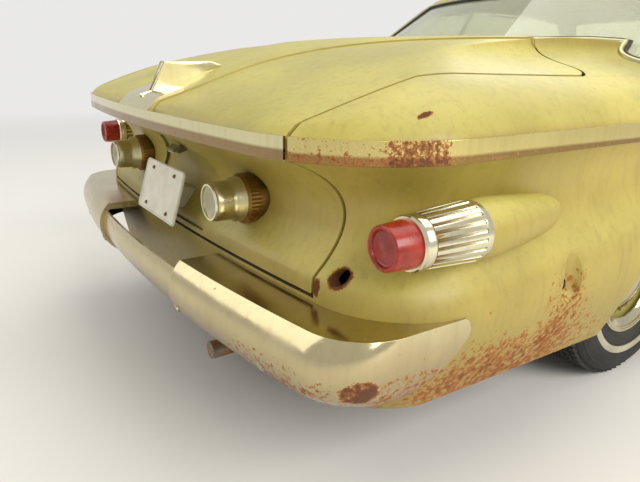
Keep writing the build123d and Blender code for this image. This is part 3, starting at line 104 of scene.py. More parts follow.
# %% [markdown]
# ## Short calls for nodes
# Materials and geometry trees are both node trees, so one small class serves for both. A value may be
# plain or another node's output, and then it is linked.

# %% Helpers for node trees
def tint(red, green, blue):
    """A colour as four numbers, from the red, green and blue that a screen shows."""
    shown = (red / 255, green / 255, blue / 255)
    return (*(c / 12.92 if c <= 0.04045 else ((c + 0.055) / 1.055) ** 2.4 for c in shown), 1.0)


class Tree:
    """A node tree with short calls for the nodes that this lesson uses."""

    def __init__(self, tree):
        self.tree = tree

    def put(self, value, socket):
        """Links a socket to another node's output, or sets it to a plain value."""
        if isinstance(value, bpy.types.NodeSocket):
            self.tree.links.new(value, socket)
        else:
            socket.default_value = value

    def feed(self, sockets, **values):
        """Puts values on named sockets; an underscore in a keyword stands for a space."""
        for key, value in values.items():
            self.put(value, sockets[key.replace("_", " ")])

    def node(self, kind, inputs=None, **options):
        """Adds a node, sets its options, and puts values on its inputs."""
        made = self.tree.nodes.new(kind)
        for option, value in options.items():
            setattr(made, option, value)
        for key, value in (inputs or {}).items():
            self.put(value, made.inputs[key])
        return made

    def out(self, kind, inputs=None, key=0, **options):
        """Adds a node and gives one output."""
        return self.node(kind, inputs, **options).outputs[key]

    def group(self, group, **values):
        """Places a group and gives its outputs."""
        placed = self.node("ShaderNodeGroup", node_tree=group.tree)
        self.feed(placed.inputs, **values)
        return placed.outputs

    def calc(self, operation, first, second, clamp=False):
        """The answer of a sum on two values."""
        return self.out("ShaderNodeMath", {0: first, 1: second}, operation=operation, use_clamp=clamp)

    def plus(self, first, second, clamp=False):
        return self.calc("ADD", first, second, clamp)

    def times(self, first, second):
        return self.calc("MULTIPLY", first, second)

    def mix(self, share, first, second):
        """Mixes two colours; one of three numbers is read as a screen shows it."""
        first, second = (tint(*c) if isinstance(c, tuple) and len(c) == 3 else c for c in (first, second))
        return self.out("ShaderNodeMix", {0: share, 6: first, 7: second}, 2, data_type="RGBA")

    def span(self, value, low, high, to_low=0.0, to_high=1.0):
        """Stretches a range of values to another and clamps it."""
        inputs = {"Value": value, "From Min": low, "From Max": high, "To Min": to_low, "To Max": to_high}
        return self.out("ShaderNodeMapRange", inputs)

    def vector(self, operation, first, second=None, key=0):
        inputs = {0: first} if second is None else {0: first, 1: second}
        return self.out("ShaderNodeVectorMath", inputs, key, operation=operation)

    def spot(self):
        """The place on the piece, in Object coordinates."""
        return self.out("ShaderNodeTexCoord", key="Object")

    def noise(self, place, scale, detail=4.0, rough=0.55, stretch=None):
        """A noise value at a place, stretched along an axis where a mark runs one way."""
        if stretch:
            place = self.out("ShaderNodeMapping", {"Vector": place, "Scale": stretch})
        inputs = {"Vector": place, "Scale": scale, "Detail": detail, "Roughness": rough}
        return self.out("ShaderNodeTexNoise", inputs, "Fac")

    def bump(self, height, depth, strength=1.0):
        """A normal from a height in metres."""
        inputs = {"Strength": strength, "Distance": depth, "Height": height}
        return self.out("ShaderNodeBump", inputs, "Normal")

    def layer(self, share, under, over):
        """Mixes two shaders into the material's surface."""
        joined = self.out("ShaderNodeMixShader", {0: share, 1: under, 2: over})
        self.feed(self.tree.nodes["Material Output"].inputs, Surface=joined)


def open_finish(name, **constants):
    """A material with one Principled shader, whose own sockets take the constant values."""
    material = bpy.data.materials.new(name)
    material.use_nodes = True
    tree, shader = Tree(material.node_tree), material.node_tree.nodes["Principled BSDF"]
    tree.feed(shader.inputs, **constants)
    return tree, shader, material


# %% [markdown]
# ## Floor and light
# The car stands on a plain pale floor under soft studio light. A wide floor that fades into a world of
# the same tone gives a backdrop without a seam. Camera and transmission rays see that tone, and
# mirrored rays a darker one, so bright metal keeps its contrast. The key lamp stands at the car's
# right, as the sun did, so the flank is the light side and the tail panel the darker one.

# %% Lay the floor
BACKDROP_TONE = (1.0, 0.995, 0.98, 1.0)
BACKDROP_LEVEL = 0.82
floor_mesh = bpy.data.meshes.new("studio_floor")
build = bmesh.new()
bmesh.ops.create_circle(build, cap_ends=True, segments=96, radius=45)
build.to_mesh(floor_mesh)
build.free()
tree, shader, floor_finish = open_finish("studio_floor", Roughness=0.85)
place = tree.spot()
tone = tree.mix(tree.noise(place, 2.5, 6), (232, 230, 224), (238, 236, 230))
tree.feed(shader.inputs, Base_Color=tone)
far = tree.out("ShaderNodeEmission", {"Color": BACKDROP_TONE, "Strength": BACKDROP_LEVEL})
reach = tree.vector("LENGTH", place, key="Value")
tree.layer(tree.span(reach, 3.4, 10.0), shader.outputs[0], far)
floor_mesh.materials.append(floor_finish)
new_object("studio_floor", floor_mesh)

# %% Hang the lamps and light the world
LAMP_TONE = (1.0, 0.98, 0.94)
LAMPS = {
    "key_light": ((-1.0, -7.0, 4.6), (-1.4, -0.4, 0.5), (6, 4), 500),
    "fill_light": ((-7.0, 3.5, 4.0), (-1.0, 0, 0.5), (6, 5), 120),
    "top_light": ((0.5, 0.0, 6.5), (0, 0, 0), (7, 5), 170),
    "front_light": ((6.5, 3.0, 4.0), (1.0, 0, 0.5), (5, 4), 200),
}
for name, (place, aim, size, power) in LAMPS.items():
    data = bpy.data.lights.new(name, "AREA")
    data.shape = "RECTANGLE"
    data.size, data.size_y = size
    data.energy = power
    data.color = LAMP_TONE
    lamp = new_object(name, data)
    lamp.location = place
    lamp.rotation_euler = (Vector(aim) - Vector(place)).to_track_quat("-Z", "Y").to_euler()

world = bpy.data.worlds.new("studio_world")
bpy.context.scene.world = world
world.use_nodes = True
tree = Tree(world.node_tree)
rays = tree.node("ShaderNodeLightPath").outputs
seen = tree.calc("MAXIMUM", rays["Is Camera Ray"], rays["Is Transmission Ray"])
mirrored = tree.span(rays["Is Glossy Ray"], 0, 1, 0.50, 0.70)
level = tree.out("ShaderNodeMix", {0: seen, 2: mirrored, 3: BACKDROP_LEVEL})
tree.feed(world.node_tree.nodes["Background"].inputs, Color=BACKDROP_TONE, Strength=level)
bpy.context.scene.view_settings.view_transform = "Standard"
print("lamps", len(LAMPS))

# %% [markdown]
# ## Effects that several finishes share
# Old metal shows the same few things again and again: blooms of rust, dust on what faces up, dirt
# near the ground, fine grain. Each is a shader node group with named inputs, built once and placed in
# each material with its own values. A group reads the object's own coordinates, so a pattern stays on
# the panel when a door swings.

# %% A helper that opens a group
VALUE_SOCKETS = {float: "Float", int: "Int", tuple: "Vector"}


def open_group(name, kind, inputs, outputs):
    """A group with named sockets, each given by its default value or else by its socket's kind."""
    group = bpy.data.node_groups.new(name, kind)
    for way, sockets in (("INPUT", inputs), ("OUTPUT", outputs)):
        for label, value in sockets.items():
            socket_kind = "NodeSocket" + VALUE_SOCKETS.get(type(value), str(value))
            socket = group.interface.new_socket(name=label, in_out=way, socket_type=socket_kind)
            if type(value) in VALUE_SOCKETS:
                socket.default_value = value
    start, end = group.nodes.new("NodeGroupInput"), group.nodes.new("NodeGroupOutput")
    return Tree(group), start.outputs, end.inputs


# %% [markdown]
# ### Rust bloom
# Rust starts as pin points, joins into flakes, and is dark in the middle with an orange rim. A coarse
# noise decides where it grows, and a fine one breaks its edge. Amount moves the threshold.

# %% Build the rust bloom
rust_bloom, start, end = open_group(
    "rust_bloom",
    "ShaderNodeTree",
    {"Scale": 12.0, "Amount": 0.3, "Edge": 0.08},
    {"Mask": "Float", "Color": "Color", "Height": "Float"},
)
tree = rust_bloom
place = tree.spot()
coarse = tree.noise(place, start["Scale"], 9, 0.68)
fine = tree.noise(place, 260, 3, 0.6)
level = tree.plus(coarse, tree.times(tree.calc("SUBTRACT", fine, 0.5), 0.16))
edge_low = tree.calc("SUBTRACT", 0.82, tree.times(start["Amount"], 0.62))
mask = tree.span(level, edge_low, tree.plus(edge_low, start["Edge"]))
core = tree.span(level, edge_low, tree.plus(edge_low, 0.22))
rim = tree.mix(fine, (156, 92, 36), (194, 134, 66))
deep = tree.mix(fine, (62, 36, 20), (122, 70, 32))
tree.feed(end, Mask=mask, Color=tree.mix(core, rim, deep), Height=tree.times(mask, fine))

# %% [markdown]
# ### Weathering
# Dust settles on what faces up, and road dirt on what is low; the paint also uses what faces up for a
# painted highlight of the light from above. The group puts out those masks, with soft patches and
# streaks that run down, and a material decides what they change.

# %% Build the weathering masks
MASKS = ("Top", "Low", "Patches", "Streaks", "Specks", "Under")
weathering, start, end = open_group(
    "weathering", "ShaderNodeTree", {"Patch scale": 3.0, "Low from": 0.55}, dict.fromkeys(MASKS, "Float")
)
tree = weathering
coordinates = tree.node("ShaderNodeTexCoord").outputs
place = coordinates["Object"]
facing = tree.out("ShaderNodeSeparateXYZ", {0: coordinates["Normal"]}, "Z")
height = tree.out("ShaderNodeSeparateXYZ", {0: place}, "Z")
patches = tree.noise(place, start["Patch scale"], 7, 0.5)
ragged = tree.plus(height, tree.times(tree.calc("SUBTRACT", patches, 0.5), 0.35))
tree.feed(
    end,
    Top=tree.span(facing, 0.25, 0.9),
    Low=tree.span(ragged, start["Low from"], 0.2),
    Patches=tree.span(patches, 0.35, 0.65),
    Streaks=tree.span(tree.noise(place, 9, 5, 0.6, (6.0, 6.0, 0.5)), 0.5, 0.75),
    Specks=tree.span(tree.noise(place, 190, 2, 0.5), 0.62, 0.72),
    Under=tree.span(facing, -0.1, -0.8),
)

# %% [markdown]
# ### Fine grain
# Vinyl, cast iron and undercoat differ mostly in the size and depth of their grain. Cells from a
# Voronoi texture read as leather-like grain, and noise as casting skin; Cells mixes the two.

# %% Build the grain
fine_grain, start, end = open_group(
    "fine_grain", "ShaderNodeTree", {"Scale": 400.0, "Cells": 0.5}, {"Height": "Float", "Shade": "Float"}
)
tree = fine_grain
place = tree.spot()
cell_inputs = {"Vector": place, "Scale": start["Scale"]}
cells = tree.out("ShaderNodeTexVoronoi", cell_inputs, "Distance", feature="SMOOTH_F1")
skin = tree.noise(place, start["Scale"], 5, 0.5)
mixed = tree.out("ShaderNodeMix", {0: start["Cells"], 2: skin, 3: cells})
tree.feed(end, Height=mixed, Shade=tree.span(tree.noise(place, 14, 6), 0.3, 0.7))
print("groups", [group.name for group in bpy.data.node_groups])

# %% [markdown]
# ## The finishes
# Every finish starts from one Principled shader and links only what changes over the surface. Rust
# gathers in blooms, where the metal was hit or where water stood: soft ellipsoids of more rust.

# %% A helper that adds the blooms
def add_blooms(tree, amount, blooms, soft):
    """Raises the amount of rust in blooms, each a centre, a size and a strength."""
    for centre, size, strength in blooms:
        offset = tree.vector("SUBTRACT", tree.spot(), centre)
        reach = tree.vector("LENGTH", tree.vector("DIVIDE", offset, size), key="Value")
        amount = tree.plus(amount, tree.times(tree.span(reach, 1.0, 1.0 - soft), strength))
    return amount


# %% [markdown]
# ### Faded olive paint
# The paint is flat olive on the sides and a lighter straw on top, a painted highlight of the light from
# above, with dust, dull patches and runs.
# Rust comes through in pin points everywhere, and more of it low down.

# %% Mix the paint
def olive_paint(name, blooms=(), speckle=0.0, flake=34.0):
    """Old olive paint with rust in pin points and in blooms."""
    tree, shader, material = open_finish(name, Coat_Weight=0.15, Coat_Roughness=0.28)
    marks = tree.group(weathering, Patch_scale=2.6, Low_from=0.62)
    side = tree.mix(marks["Patches"], (154, 136, 58), (174, 154, 70))
    # top is a lighter copy of the side colour for faces that look up: a painted highlight of the light from
    # above
    top = tree.mix(marks["Patches"], (176, 165, 78), (198, 187, 96))
    colour = tree.mix(marks["Top"], side, top)
    hue = tree.noise(tree.spot(), 4.5, 5, 0.6)
    dust = tree.times(marks["Low"], 0.55)
    for share, tone in (
        (tree.span(hue, 0.50, 0.70, 0.0, 0.22), (134, 130, 66)),
        (tree.span(hue, 0.46, 0.32, 0.0, 0.16), (192, 164, 84)),
        (tree.times(marks["Streaks"], 0.28), (116, 100, 46)),
        (dust, (128, 112, 72)),
        (tree.times(marks["Specks"], 0.22), (112, 92, 48)),
    ):
        colour = tree.mix(share, colour, tone)
    amount = tree.plus(0.16, tree.times(marks["Low"], 0.22 + speckle))
    amount = add_blooms(tree, amount, blooms, 0.6)
    rust = tree.group(rust_bloom, Scale=flake, Amount=amount, Edge=0.05)
    dull = tree.plus(tree.span(marks["Patches"], 0, 1, 0.40, 0.56), tree.times(dust, 0.35))
    lift = tree.plus(tree.times(tree.noise(tree.spot(), 11, 2), 0.35), rust["Height"])
    tree.feed(
        shader.inputs,
        Base_Color=tree.mix(rust["Mask"], colour, rust["Color"]),
        Roughness=tree.plus(dull, tree.times(rust["Mask"], 0.5), clamp=True),
        Coat_Weight=tree.span(rust["Mask"], 0, 1, 0.15, 0.0),
        Normal=tree.bump(lift, 0.0012, 0.35),
    )
    return material


QUARTER_BLOOMS = (
    ((-1.880, -0.985, 0.500), (0.12, 0.12, 0.16), 0.20),
    ((-2.05, -0.96, 0.34), (0.50, 0.2, 0.12), 0.24),
    ((-2.05, -0.98, 0.46), (0.45, 0.1, 0.16), 0.07),
    ((-2.452, -0.807, 0.594), (0.05, 0.033, 0.031), 1.2),
    ((-2.480, -0.762, 0.566), (0.05, 0.016, 0.030), 0.9),
    ((-2.324, -0.895, 0.936), (0.030, 0.008, 0.02), 0.9),
)
paint = olive_paint("olive_paint")
paint_rusty = olive_paint("olive_paint_rusty", QUARTER_BLOOMS, 0.10, 64.0)
print("paints with", len(QUARTER_BLOOMS), "blooms")

# %% [markdown]
# ### Bright metal
# The chrome has yellowed and is hazy, with rust pin points that gather on the faces that look down.
# Low parts turn brown with dirt, and faces that look down turn brown as painted shade.
# One belt strip, round the right rear corner, has lost its plating and is rusted through and through.

# %% Mix the bright metal
def bright_metal(
    name, base, pits, blooms=(), haze=0.10, flake=42.0, dirt_and_shade=0.35, low_from=0.5, edge_z=None
):
    """Aged chrome; blooms are places where the plating is gone, and below edge_z a strip is browner."""
    tree, shader, material = open_finish(name)
    marks = tree.group(weathering, Patch_scale=7.0, Low_from=low_from)
    amount = tree.plus(pits, tree.times(marks["Under"], 0.24))
    amount = add_blooms(tree, amount, blooms, 0.25)
    film = tree.times(marks["Streaks"], 0.2)
    plate = tree.mix(film, base, tuple(int(c * 0.72) for c in base))
    # Brown on low parts is dirt; brown on faces that look down is painted shade.
    dirt_and_under_shade = tree.calc("MAXIMUM", marks["Under"], marks["Low"])
    dirt_and_under_shade = tree.times(dirt_and_under_shade, tree.span(marks["Patches"], 0, 1, dirt_and_shade * 0.5, dirt_and_shade))
    if edge_z:
        height = tree.out("ShaderNodeSeparateXYZ", {0: tree.spot()}, "Z")
        lower = tree.span(height, edge_z + 0.002, edge_z - 0.004)
        dirt_and_under_shade = tree.calc("MAXIMUM", dirt_and_under_shade, tree.times(lower, 0.75))
        amount = tree.plus(amount, tree.times(lower, 0.16))
    plate = tree.mix(dirt_and_under_shade, plate, (122, 78, 34))
    rust = tree.group(rust_bloom, Scale=flake, Amount=amount, Edge=0.06)
    smooth = tree.span(marks["Patches"], 0, 1, haze, haze + 0.12)
    tree.feed(
        shader.inputs,
        Base_Color=tree.mix(rust["Mask"], plate, rust["Color"]),
        Metallic=tree.span(rust["Mask"], 0, 1, 1.0, 0.05),
        Roughness=tree.plus(smooth, tree.times(rust["Mask"], 0.6), clamp=True),
        Normal=tree.bump(rust["Height"], 0.0010, 0.6),
    )
    return material


STRIP_BLOOMS = (
    ((-2.46, -0.90, 0.87), (0.20, 0.20, 0.10), 0.22),
    ((-2.36, -0.95, 0.87), (0.075, 0.12, 0.10), 0.24),
)
BUMPER_BLOOMS = (
    ((-2.513, -0.967, 0.418), (0.045, 0.05, 0.040), 0.42),
    ((-2.42, -0.985, 0.400), (0.16, 0.05, 0.05), 0.20),
    ((-2.60, -0.80, 0.420), (0.10, 0.20, 0.045), 0.14),
)
chrome_strip = bright_metal(
    "bright_belt_strip", (212, 196, 128), 0.2, STRIP_BLOOMS, 0.18, 120.0, edge_z=0.862
)
chrome_bumper = bright_metal(
    "bright_bumper", (212, 202, 160), 0.26, BUMPER_BLOOMS, 0.14, 70.0, dirt_and_shade=0.95, low_from=0.66
)
chrome_edge = bright_metal("bright_lid_trim", (218, 210, 164), 0.2, (), 0.14, 110.0, edge_z=0.866)
chrome_clean = bright_metal("bright_trim", (218, 212, 182), 0.1)
chrome_dull = bright_metal("bright_moulding", (192, 184, 142), 0.18, (), 0.24)
chrome_groove = bright_metal("bright_groove", (132, 102, 52), 0.3, (), 0.3, 90.0)
print("bright metal mixed")

# %% [markdown]
# ### Simple solid finishes
# Rubber, undercoat, iron, vinyl and enamel differ in colour, grain and gloss, so one recipe makes
# them all. Each still has its own grain, dust and tone changes.

# %% Mix the solid finishes
def grained(name, dark, light, rough, scale, cells, depth, dust=0.2, metallic=0.0, rust=0.0, coat=0.0):
    """A solid finish with grain, tone changes, dust on top and some rust."""
    tree, shader, material = open_finish(name, Metallic=metallic, Coat_Weight=coat, Coat_Roughness=0.2)
    grain = tree.group(fine_grain, Scale=scale, Cells=cells)
    marks = tree.group(weathering, Patch_scale=5.0, Low_from=0.5)
    settled = tree.times(tree.times(marks["Top"], marks["Patches"]), dust)
    colour = tree.mix(settled, tree.mix(grain["Shade"], dark, light), (152, 140, 108))
    spread = tree.plus(tree.times(settled, 0.4), rough)
    if rust:
        bloom = tree.group(rust_bloom, Scale=22.0, Amount=rust, Edge=0.12)
        colour = tree.mix(bloom["Mask"], colour, bloom["Color"])
        spread = tree.plus(spread, tree.times(bloom["Mask"], 0.3), clamp=True)
    normal = tree.bump(grain["Height"], depth)
    tree.feed(shader.inputs, Base_Color=colour, Roughness=spread, Normal=normal)
    return material


rubber = grained("black_rubber", (18, 18, 17), (34, 33, 31), 0.62, 260, 0.3, 0.0003, 0.35)
undercoat = grained("undercoat", (38, 33, 26), (66, 57, 43), 0.82, 90, 0.2, 0.0012, 0.3, rust=0.42)
inner_metal = grained("inner_metal", (84, 78, 42), (112, 104, 58), 0.6, 120, 0.1, 0.0004, 0.4, rust=0.3)
old_steel = grained("old_steel", (92, 84, 72), (128, 116, 98), 0.5, 110, 0.1, 0.0005, 0.2, 0.55, 0.6)
cast_iron = grained("cast_iron", (44, 40, 36), (70, 63, 55), 0.66, 150, 0.25, 0.0008, 0.3, 0.25, 0.45)
engine_enamel = grained(
    "engine_enamel", (52, 84, 86), (70, 106, 106), 0.45, 130, 0.2, 0.0006, 0.5, rust=0.3
)
tyre_rubber = grained("tyre_rubber", (20, 20, 19), (40, 38, 35), 0.72, 180, 0.35, 0.0005, 0.25)
band_rubber = grained("pale_band_rubber", (150, 143, 120), (182, 176, 152), 0.6, 160, 0.25, 0.0004, 0.6)
wheel_enamel = grained(
    "wheel_enamel", (140, 131, 66), (164, 154, 84), 0.42, 90, 0.1, 0.0003, 0.3, rust=0.34
)
dash_enamel = grained("dash_enamel", (98, 92, 44), (116, 109, 56), 0.36, 220, 0.3, 0.0002, 0.3, coat=0.3)
vinyl = grained("seat_vinyl", (104, 92, 52), (128, 114, 68), 0.46, 620, 0.8, 0.0004, 0.25, coat=0.1)
vinyl_dark = grained("trim_vinyl", (74, 66, 36), (94, 84, 48), 0.5, 560, 0.8, 0.0004, 0.2, coat=0.1)
headlining_cloth = grained(
    "headlining_cloth", (176, 168, 132), (196, 188, 152), 0.9, 900, 0.7, 0.0004, 0.1
)
carpet_pile = grained("carpet_pile", (58, 54, 36), (82, 76, 52), 0.95, 700, 0.6, 0.0030, 0.4)
ivory_plastic = grained(
    "ivory_plastic", (196, 188, 152), (212, 204, 170), 0.3, 300, 0.1, 0.0001, 0.1, coat=0.4
)
plate_enamel = grained(
    "plate_enamel", (206, 203, 182), (226, 223, 204), 0.4, 60, 0.1, 0.0002, 0.3, rust=0.16
)
white_dial = grained("dial_white", (214, 212, 200), (226, 224, 212), 0.5, 300, 0.1, 0.0001, 0.0)
print("materials", len(bpy.data.materials))

# %% [markdown]
# ### Glass and lenses
# Window glass is a real closed pane here, so plain transmission bends light as it should. Shadow rays
# pass straight through, or the cabin would be dark. Dust on a pane lets less light through; that
# share is one plain value, and the runs in the dust show in the colour. The lenses are moulded
# plastic: the red one lets some light in, and the frosted ones scatter it.

# %% Mix glass and lenses
MEAN_FILM = 0.72


def clear_glass(name, colour, rough, dust):
    """Glass under a film of dust, which lets three quarters of the shadow rays pass."""
    through = 1.0 - MEAN_FILM * dust
    tree, shader, material = open_finish(name, IOR=1.45, Transmission_Weight=through)
    smear = tree.noise(tree.spot(), 6, 6, 0.6, (1.0, 1.0, 0.4))
    clear = tree.mix(smear, colour, (0.92, 0.95, 0.90, 1.0))
    runs = tree.group(weathering, Patch_scale=4.0, Low_from=0.3)
    film = tree.times(tree.span(smear, 0.25, 0.75, 0.6, 1.0), dust)
    film = tree.times(film, tree.span(runs["Streaks"], 0, 1, 1.0, 0.45))
    tree.feed(
        shader.inputs,
        Base_Color=tree.mix(film, clear, (196, 186, 124)),
        Roughness=tree.span(smear, 0.45, 0.8, rough, rough + 0.06),
    )
    shadow = tree.times(tree.out("ShaderNodeLightPath", key="Is Shadow Ray"), 0.75)
    passing = tree.out("ShaderNodeBsdfTransparent", {"Color": tint(*colour)})
    tree.layer(shadow, shader.outputs[0], passing)
    return material


def moulded_lens(name, deep, bright, through, rough=0.22):
    """Coloured lens plastic with clouds, moulding marks and fine dirt."""
    tree, shader, material = open_finish(
        name, Transmission_Weight=through, IOR=1.49, Coat_Weight=0.2, Coat_Roughness=0.08
    )
    place = tree.spot()
    cloud = tree.noise(place, 30, 5)
    colour = tree.mix(tree.span(cloud, 0.3, 0.7), deep, bright)
    marks = tree.group(weathering, Patch_scale=18.0, Low_from=0.3)
    tree.feed(
        shader.inputs,
        Base_Color=tree.mix(tree.times(marks["Patches"], 0.18), colour, (96, 74, 40)),
        Roughness=tree.span(cloud, 0.3, 0.7, rough, rough + 0.12),
        Normal=tree.bump(tree.noise(place, 240, 2), 0.0004, 0.5),
    )
    return material


window_glass = clear_glass("window_glass", (206, 216, 184), 0.01, 0.06)
dusty_glass = clear_glass("dusty_glass", (206, 212, 170), 0.02, 0.34)
lamp_glass = clear_glass("lamp_glass", (232, 234, 222), 0.04, 0.05)
red_lens = moulded_lens("red_lens", (150, 16, 2), (206, 44, 8), 0.3)
frosted_lens = moulded_lens("frosted_lens", (222, 214, 168), (240, 234, 196), 0.45, 0.3)
print("glass ready")

# %% [markdown]
# ## Dressing a node
# A copy of a node is merged, so that its triangles share corners and can be shaded smoothly. Flat
# groups of triangles are joined, edges turn sharp past an angle, and a fine bevel catches light along
# them as folded sheet does. A rule may give faces on the inside another finish, such as a headlining.

# %% Helpers that dress nodes
def link_piece(name, mesh, body, *finishes):
    """Puts a finished mesh in the scene under its name, on its body, with its finishes."""
    piece = new_object(name, mesh)
    for finish in finishes:
        mesh.materials.append(finish)
    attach(piece, body)
    return piece


def round_edges(piece, width, segments, angle=30.0):
    """A live bevel along the edges that are sharper than an angle."""
    rounding = piece.modifiers.new("rounding", "BEVEL")
    rounding.width, rounding.segments = width, segments
    rounding.limit_method = "ANGLE"
    rounding.angle_limit = math.radians(angle)
    rounding.harden_normals = True


def dress(name, node, finishes, bevel=0.0012, angle=32.0, rule=None):
    """A merged, smooth copy of a node that stands for it; rule picks a finish for each face."""
    mesh = cad_nodes[node].data.copy()
    mesh.materials.clear()
    build = bmesh.new()
    build.from_mesh(mesh)
    bmesh.ops.remove_doubles(build, verts=build.verts, dist=2e-5)
    bmesh.ops.dissolve_limit(build, angle_limit=math.radians(0.2), verts=build.verts, edges=build.edges)
    for face in build.faces:
        face.smooth = True
        if rule:
            face.material_index = rule(face.calc_center_median(), face.normal)
    build.to_mesh(mesh)
    build.free()
    mesh.set_sharp_from_angle(angle=math.radians(angle))
    piece = link_piece(name, mesh, cad_nodes[node]["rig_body"], *finishes)
    if bevel:
        round_edges(piece, bevel, 2, angle + 6)
    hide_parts(node)


def dress_all(table):
    """Dresses a table of finishes, bevel, angle, rule, and the pieces' names with their nodes."""
    for finishes, bevel, angle, rule, pieces in table:
        for name, node in pieces.items():
            dress(name, node, finishes, bevel, angle, rule)
    print("dressed", sum(len(row[-1]) for row in table), "nodes")


# %% [markdown]
# ### Painted panels
# The panels share one olive paint. The right quarter and the tail panel have their own mix, with rust
# blooms at the dent, at the hole beside the lid and along the belt. What faces the middle of the car
# is inner metal or undercoat, under the roof it is the headlining, and a door's inner face is vinyl.

# %% Dress the painted panels
def faces_inward(centre, normal):
    """One where a face of a body panel looks towards the middle of the car, else zero."""
    middle = Vector((max(-1.9, min(1.9, centre.x)), 0, 0.62))
    return int(normal.dot(centre - middle) < 0)


def under_roof(centre, normal):
    """One where a face of the roof looks down or inwards."""
    return int(normal.dot(Vector((0, centre.y, centre.z - 0.9))) < 0)


def inside_door(centre, normal):
    """One where a face of a door looks into the cabin."""
    return int(normal.y * centre.y < 0 and abs(centre.y) < 0.853)


INNER_METAL_PANELS = {
    "boot_lid_skin": "trunk_lid",
    "quarter_skin_left": "quarter_left",
    "window_base_panel": "upper_back_panel",
    "cowl_panel": "cowl",
    "bonnet_skin": "hood",
}
UNDERCOAT_PANELS = {"wing_left": "fender_left", "wing_right": "fender_right", "nose_panel": "front_panel"}
DOORS = {"door_skin_left": "door_left", "door_skin_right": "door_right"}
dress_all(
    (
        ((paint, inner_metal), 0.0012, 32, faces_inward, INNER_METAL_PANELS),
        ((paint_rusty, inner_metal), 0.0012, 32, faces_inward, {"quarter_skin_right": "quarter_right"}),
        ((paint_rusty, undercoat), 0.0012, 32, faces_inward, {"tail_panel": "rear_lower_panel"}),
        ((paint, undercoat), 0.0012, 32, faces_inward, UNDERCOAT_PANELS),
        ((paint, headlining_cloth), 0.0012, 32, under_roof, {"roof_skin": "roof"}),
        ((paint, vinyl_dark), 0.0012, 32, inside_door, DOORS),
        ((paint, undercoat), 0.0012, 32, None, {"lamp_pods": "tail_lamp_pods"}),
    )
)

# %% [markdown]
# ### Bright parts and glass
# The bumpers, strips and lamps keep their shape too. The floors of a lamp bezel's flutes are dull, and
# a reversing lamp has a dark bronze base, a bright body and a frosted face.

# %% Dress the bright parts and the glass
LAMP_REAR_X, LAMP_Y, LAMP_Z = -2.403, 0.957, 0.706
REVERSING_Y, REVERSING_Z = 0.417, 0.690


def flute_rule(centre, normal):
    """One on the floors of the flutes in a bezel."""
    reach = math.hypot(abs(centre.y) - LAMP_Y, centre.z - LAMP_Z)
    return int(centre.x > -2.384 and reach < 0.0572)


def reversing_rule(centre, normal):
    """One on a reversing lamp's base, two on its face."""
    reach = math.hypot(abs(centre.y) - REVERSING_Y, centre.z - REVERSING_Z)
    if centre.x > -2.489:
        return 1
    return 2 if -2.5665 < centre.x < -2.545 and reach < 0.039 else 0


BUMPERS = {"front_bumper": "bumper_front", "rear_bumper": "bumper_rear"}
DOOR_STRIPS = {"door_belt_left": "door_strip_left", "door_belt_right": "door_strip_right"}
CLEAR_PANES = {
    "windscreen": "windshield",
    "quarter_windows": "quarter_glass",
    "door_window_left": "door_glass_left",
    "door_window_right": "door_glass_right",
}
reversing_finishes = (chrome_dull, chrome_groove, frosted_lens)
dress_all(
    (
        ((chrome_bumper,), 0.003, 30, None, BUMPERS),
        ((chrome_clean,), 0.0008, 40, None, {"grille_bars": "grille"}),
        ((chrome_strip,), 0.0012, 40, None, {"belt_strips": "side_strips"}),
        ((chrome_edge,), 0.0012, 40, None, {"boot_lid_trim": "lid_trim"}),
        ((chrome_clean,), 0.0012, 40, None, DOOR_STRIPS),
        ((chrome_clean, chrome_groove), 0.0006, 50, flute_rule, {"lamp_bezels": "tail_lamp_bezels"}),
        (reversing_finishes, 0, 35, reversing_rule, {"reversing_lamps": "reverse_lamps"}),
        ((window_glass,), 0, 30, None, CLEAR_PANES),
        ((dusty_glass,), 0, 30, None, {"back_window": "rear_window"}),
        ((plate_enamel,), 0.001, 40, None, {"plate_blank": "licence_plate"}),
    )
)

# %% [markdown]
# ### Running gear and cabin
# Floor, frame and wheel tubs wear undercoat; springs, arms and axle are rusty iron. On a wheel the hub
# cap is bright, the rim and disc are painted, and the drum behind them is iron.

# %% Dress the running gear and the cabin
HUB_Z = 0.350
HUBS = {"front": (1.777, 0.7735), "rear": (-1.220, 0.758)}
WHEELS = {
    f"{end_name}_{side_name}": Vector((hub_x, side * hub_y, HUB_Z))
    for end_name, (hub_x, hub_y) in HUBS.items()
    for side_name, side in SIDES.items()
}


def wheel_rule(centre, normal):
    """One on the hub cap, two on the drum, else zero."""
    hub_x, hub_y = HUBS["front" if centre.x > 0 else "rear"]
    reach = math.hypot(centre.x - hub_x, centre.z - HUB_Z)
    if reach < 0.134 and abs(centre.y) > hub_y + 0.036:
        return 1
    return 2 if reach < 0.139 else 0


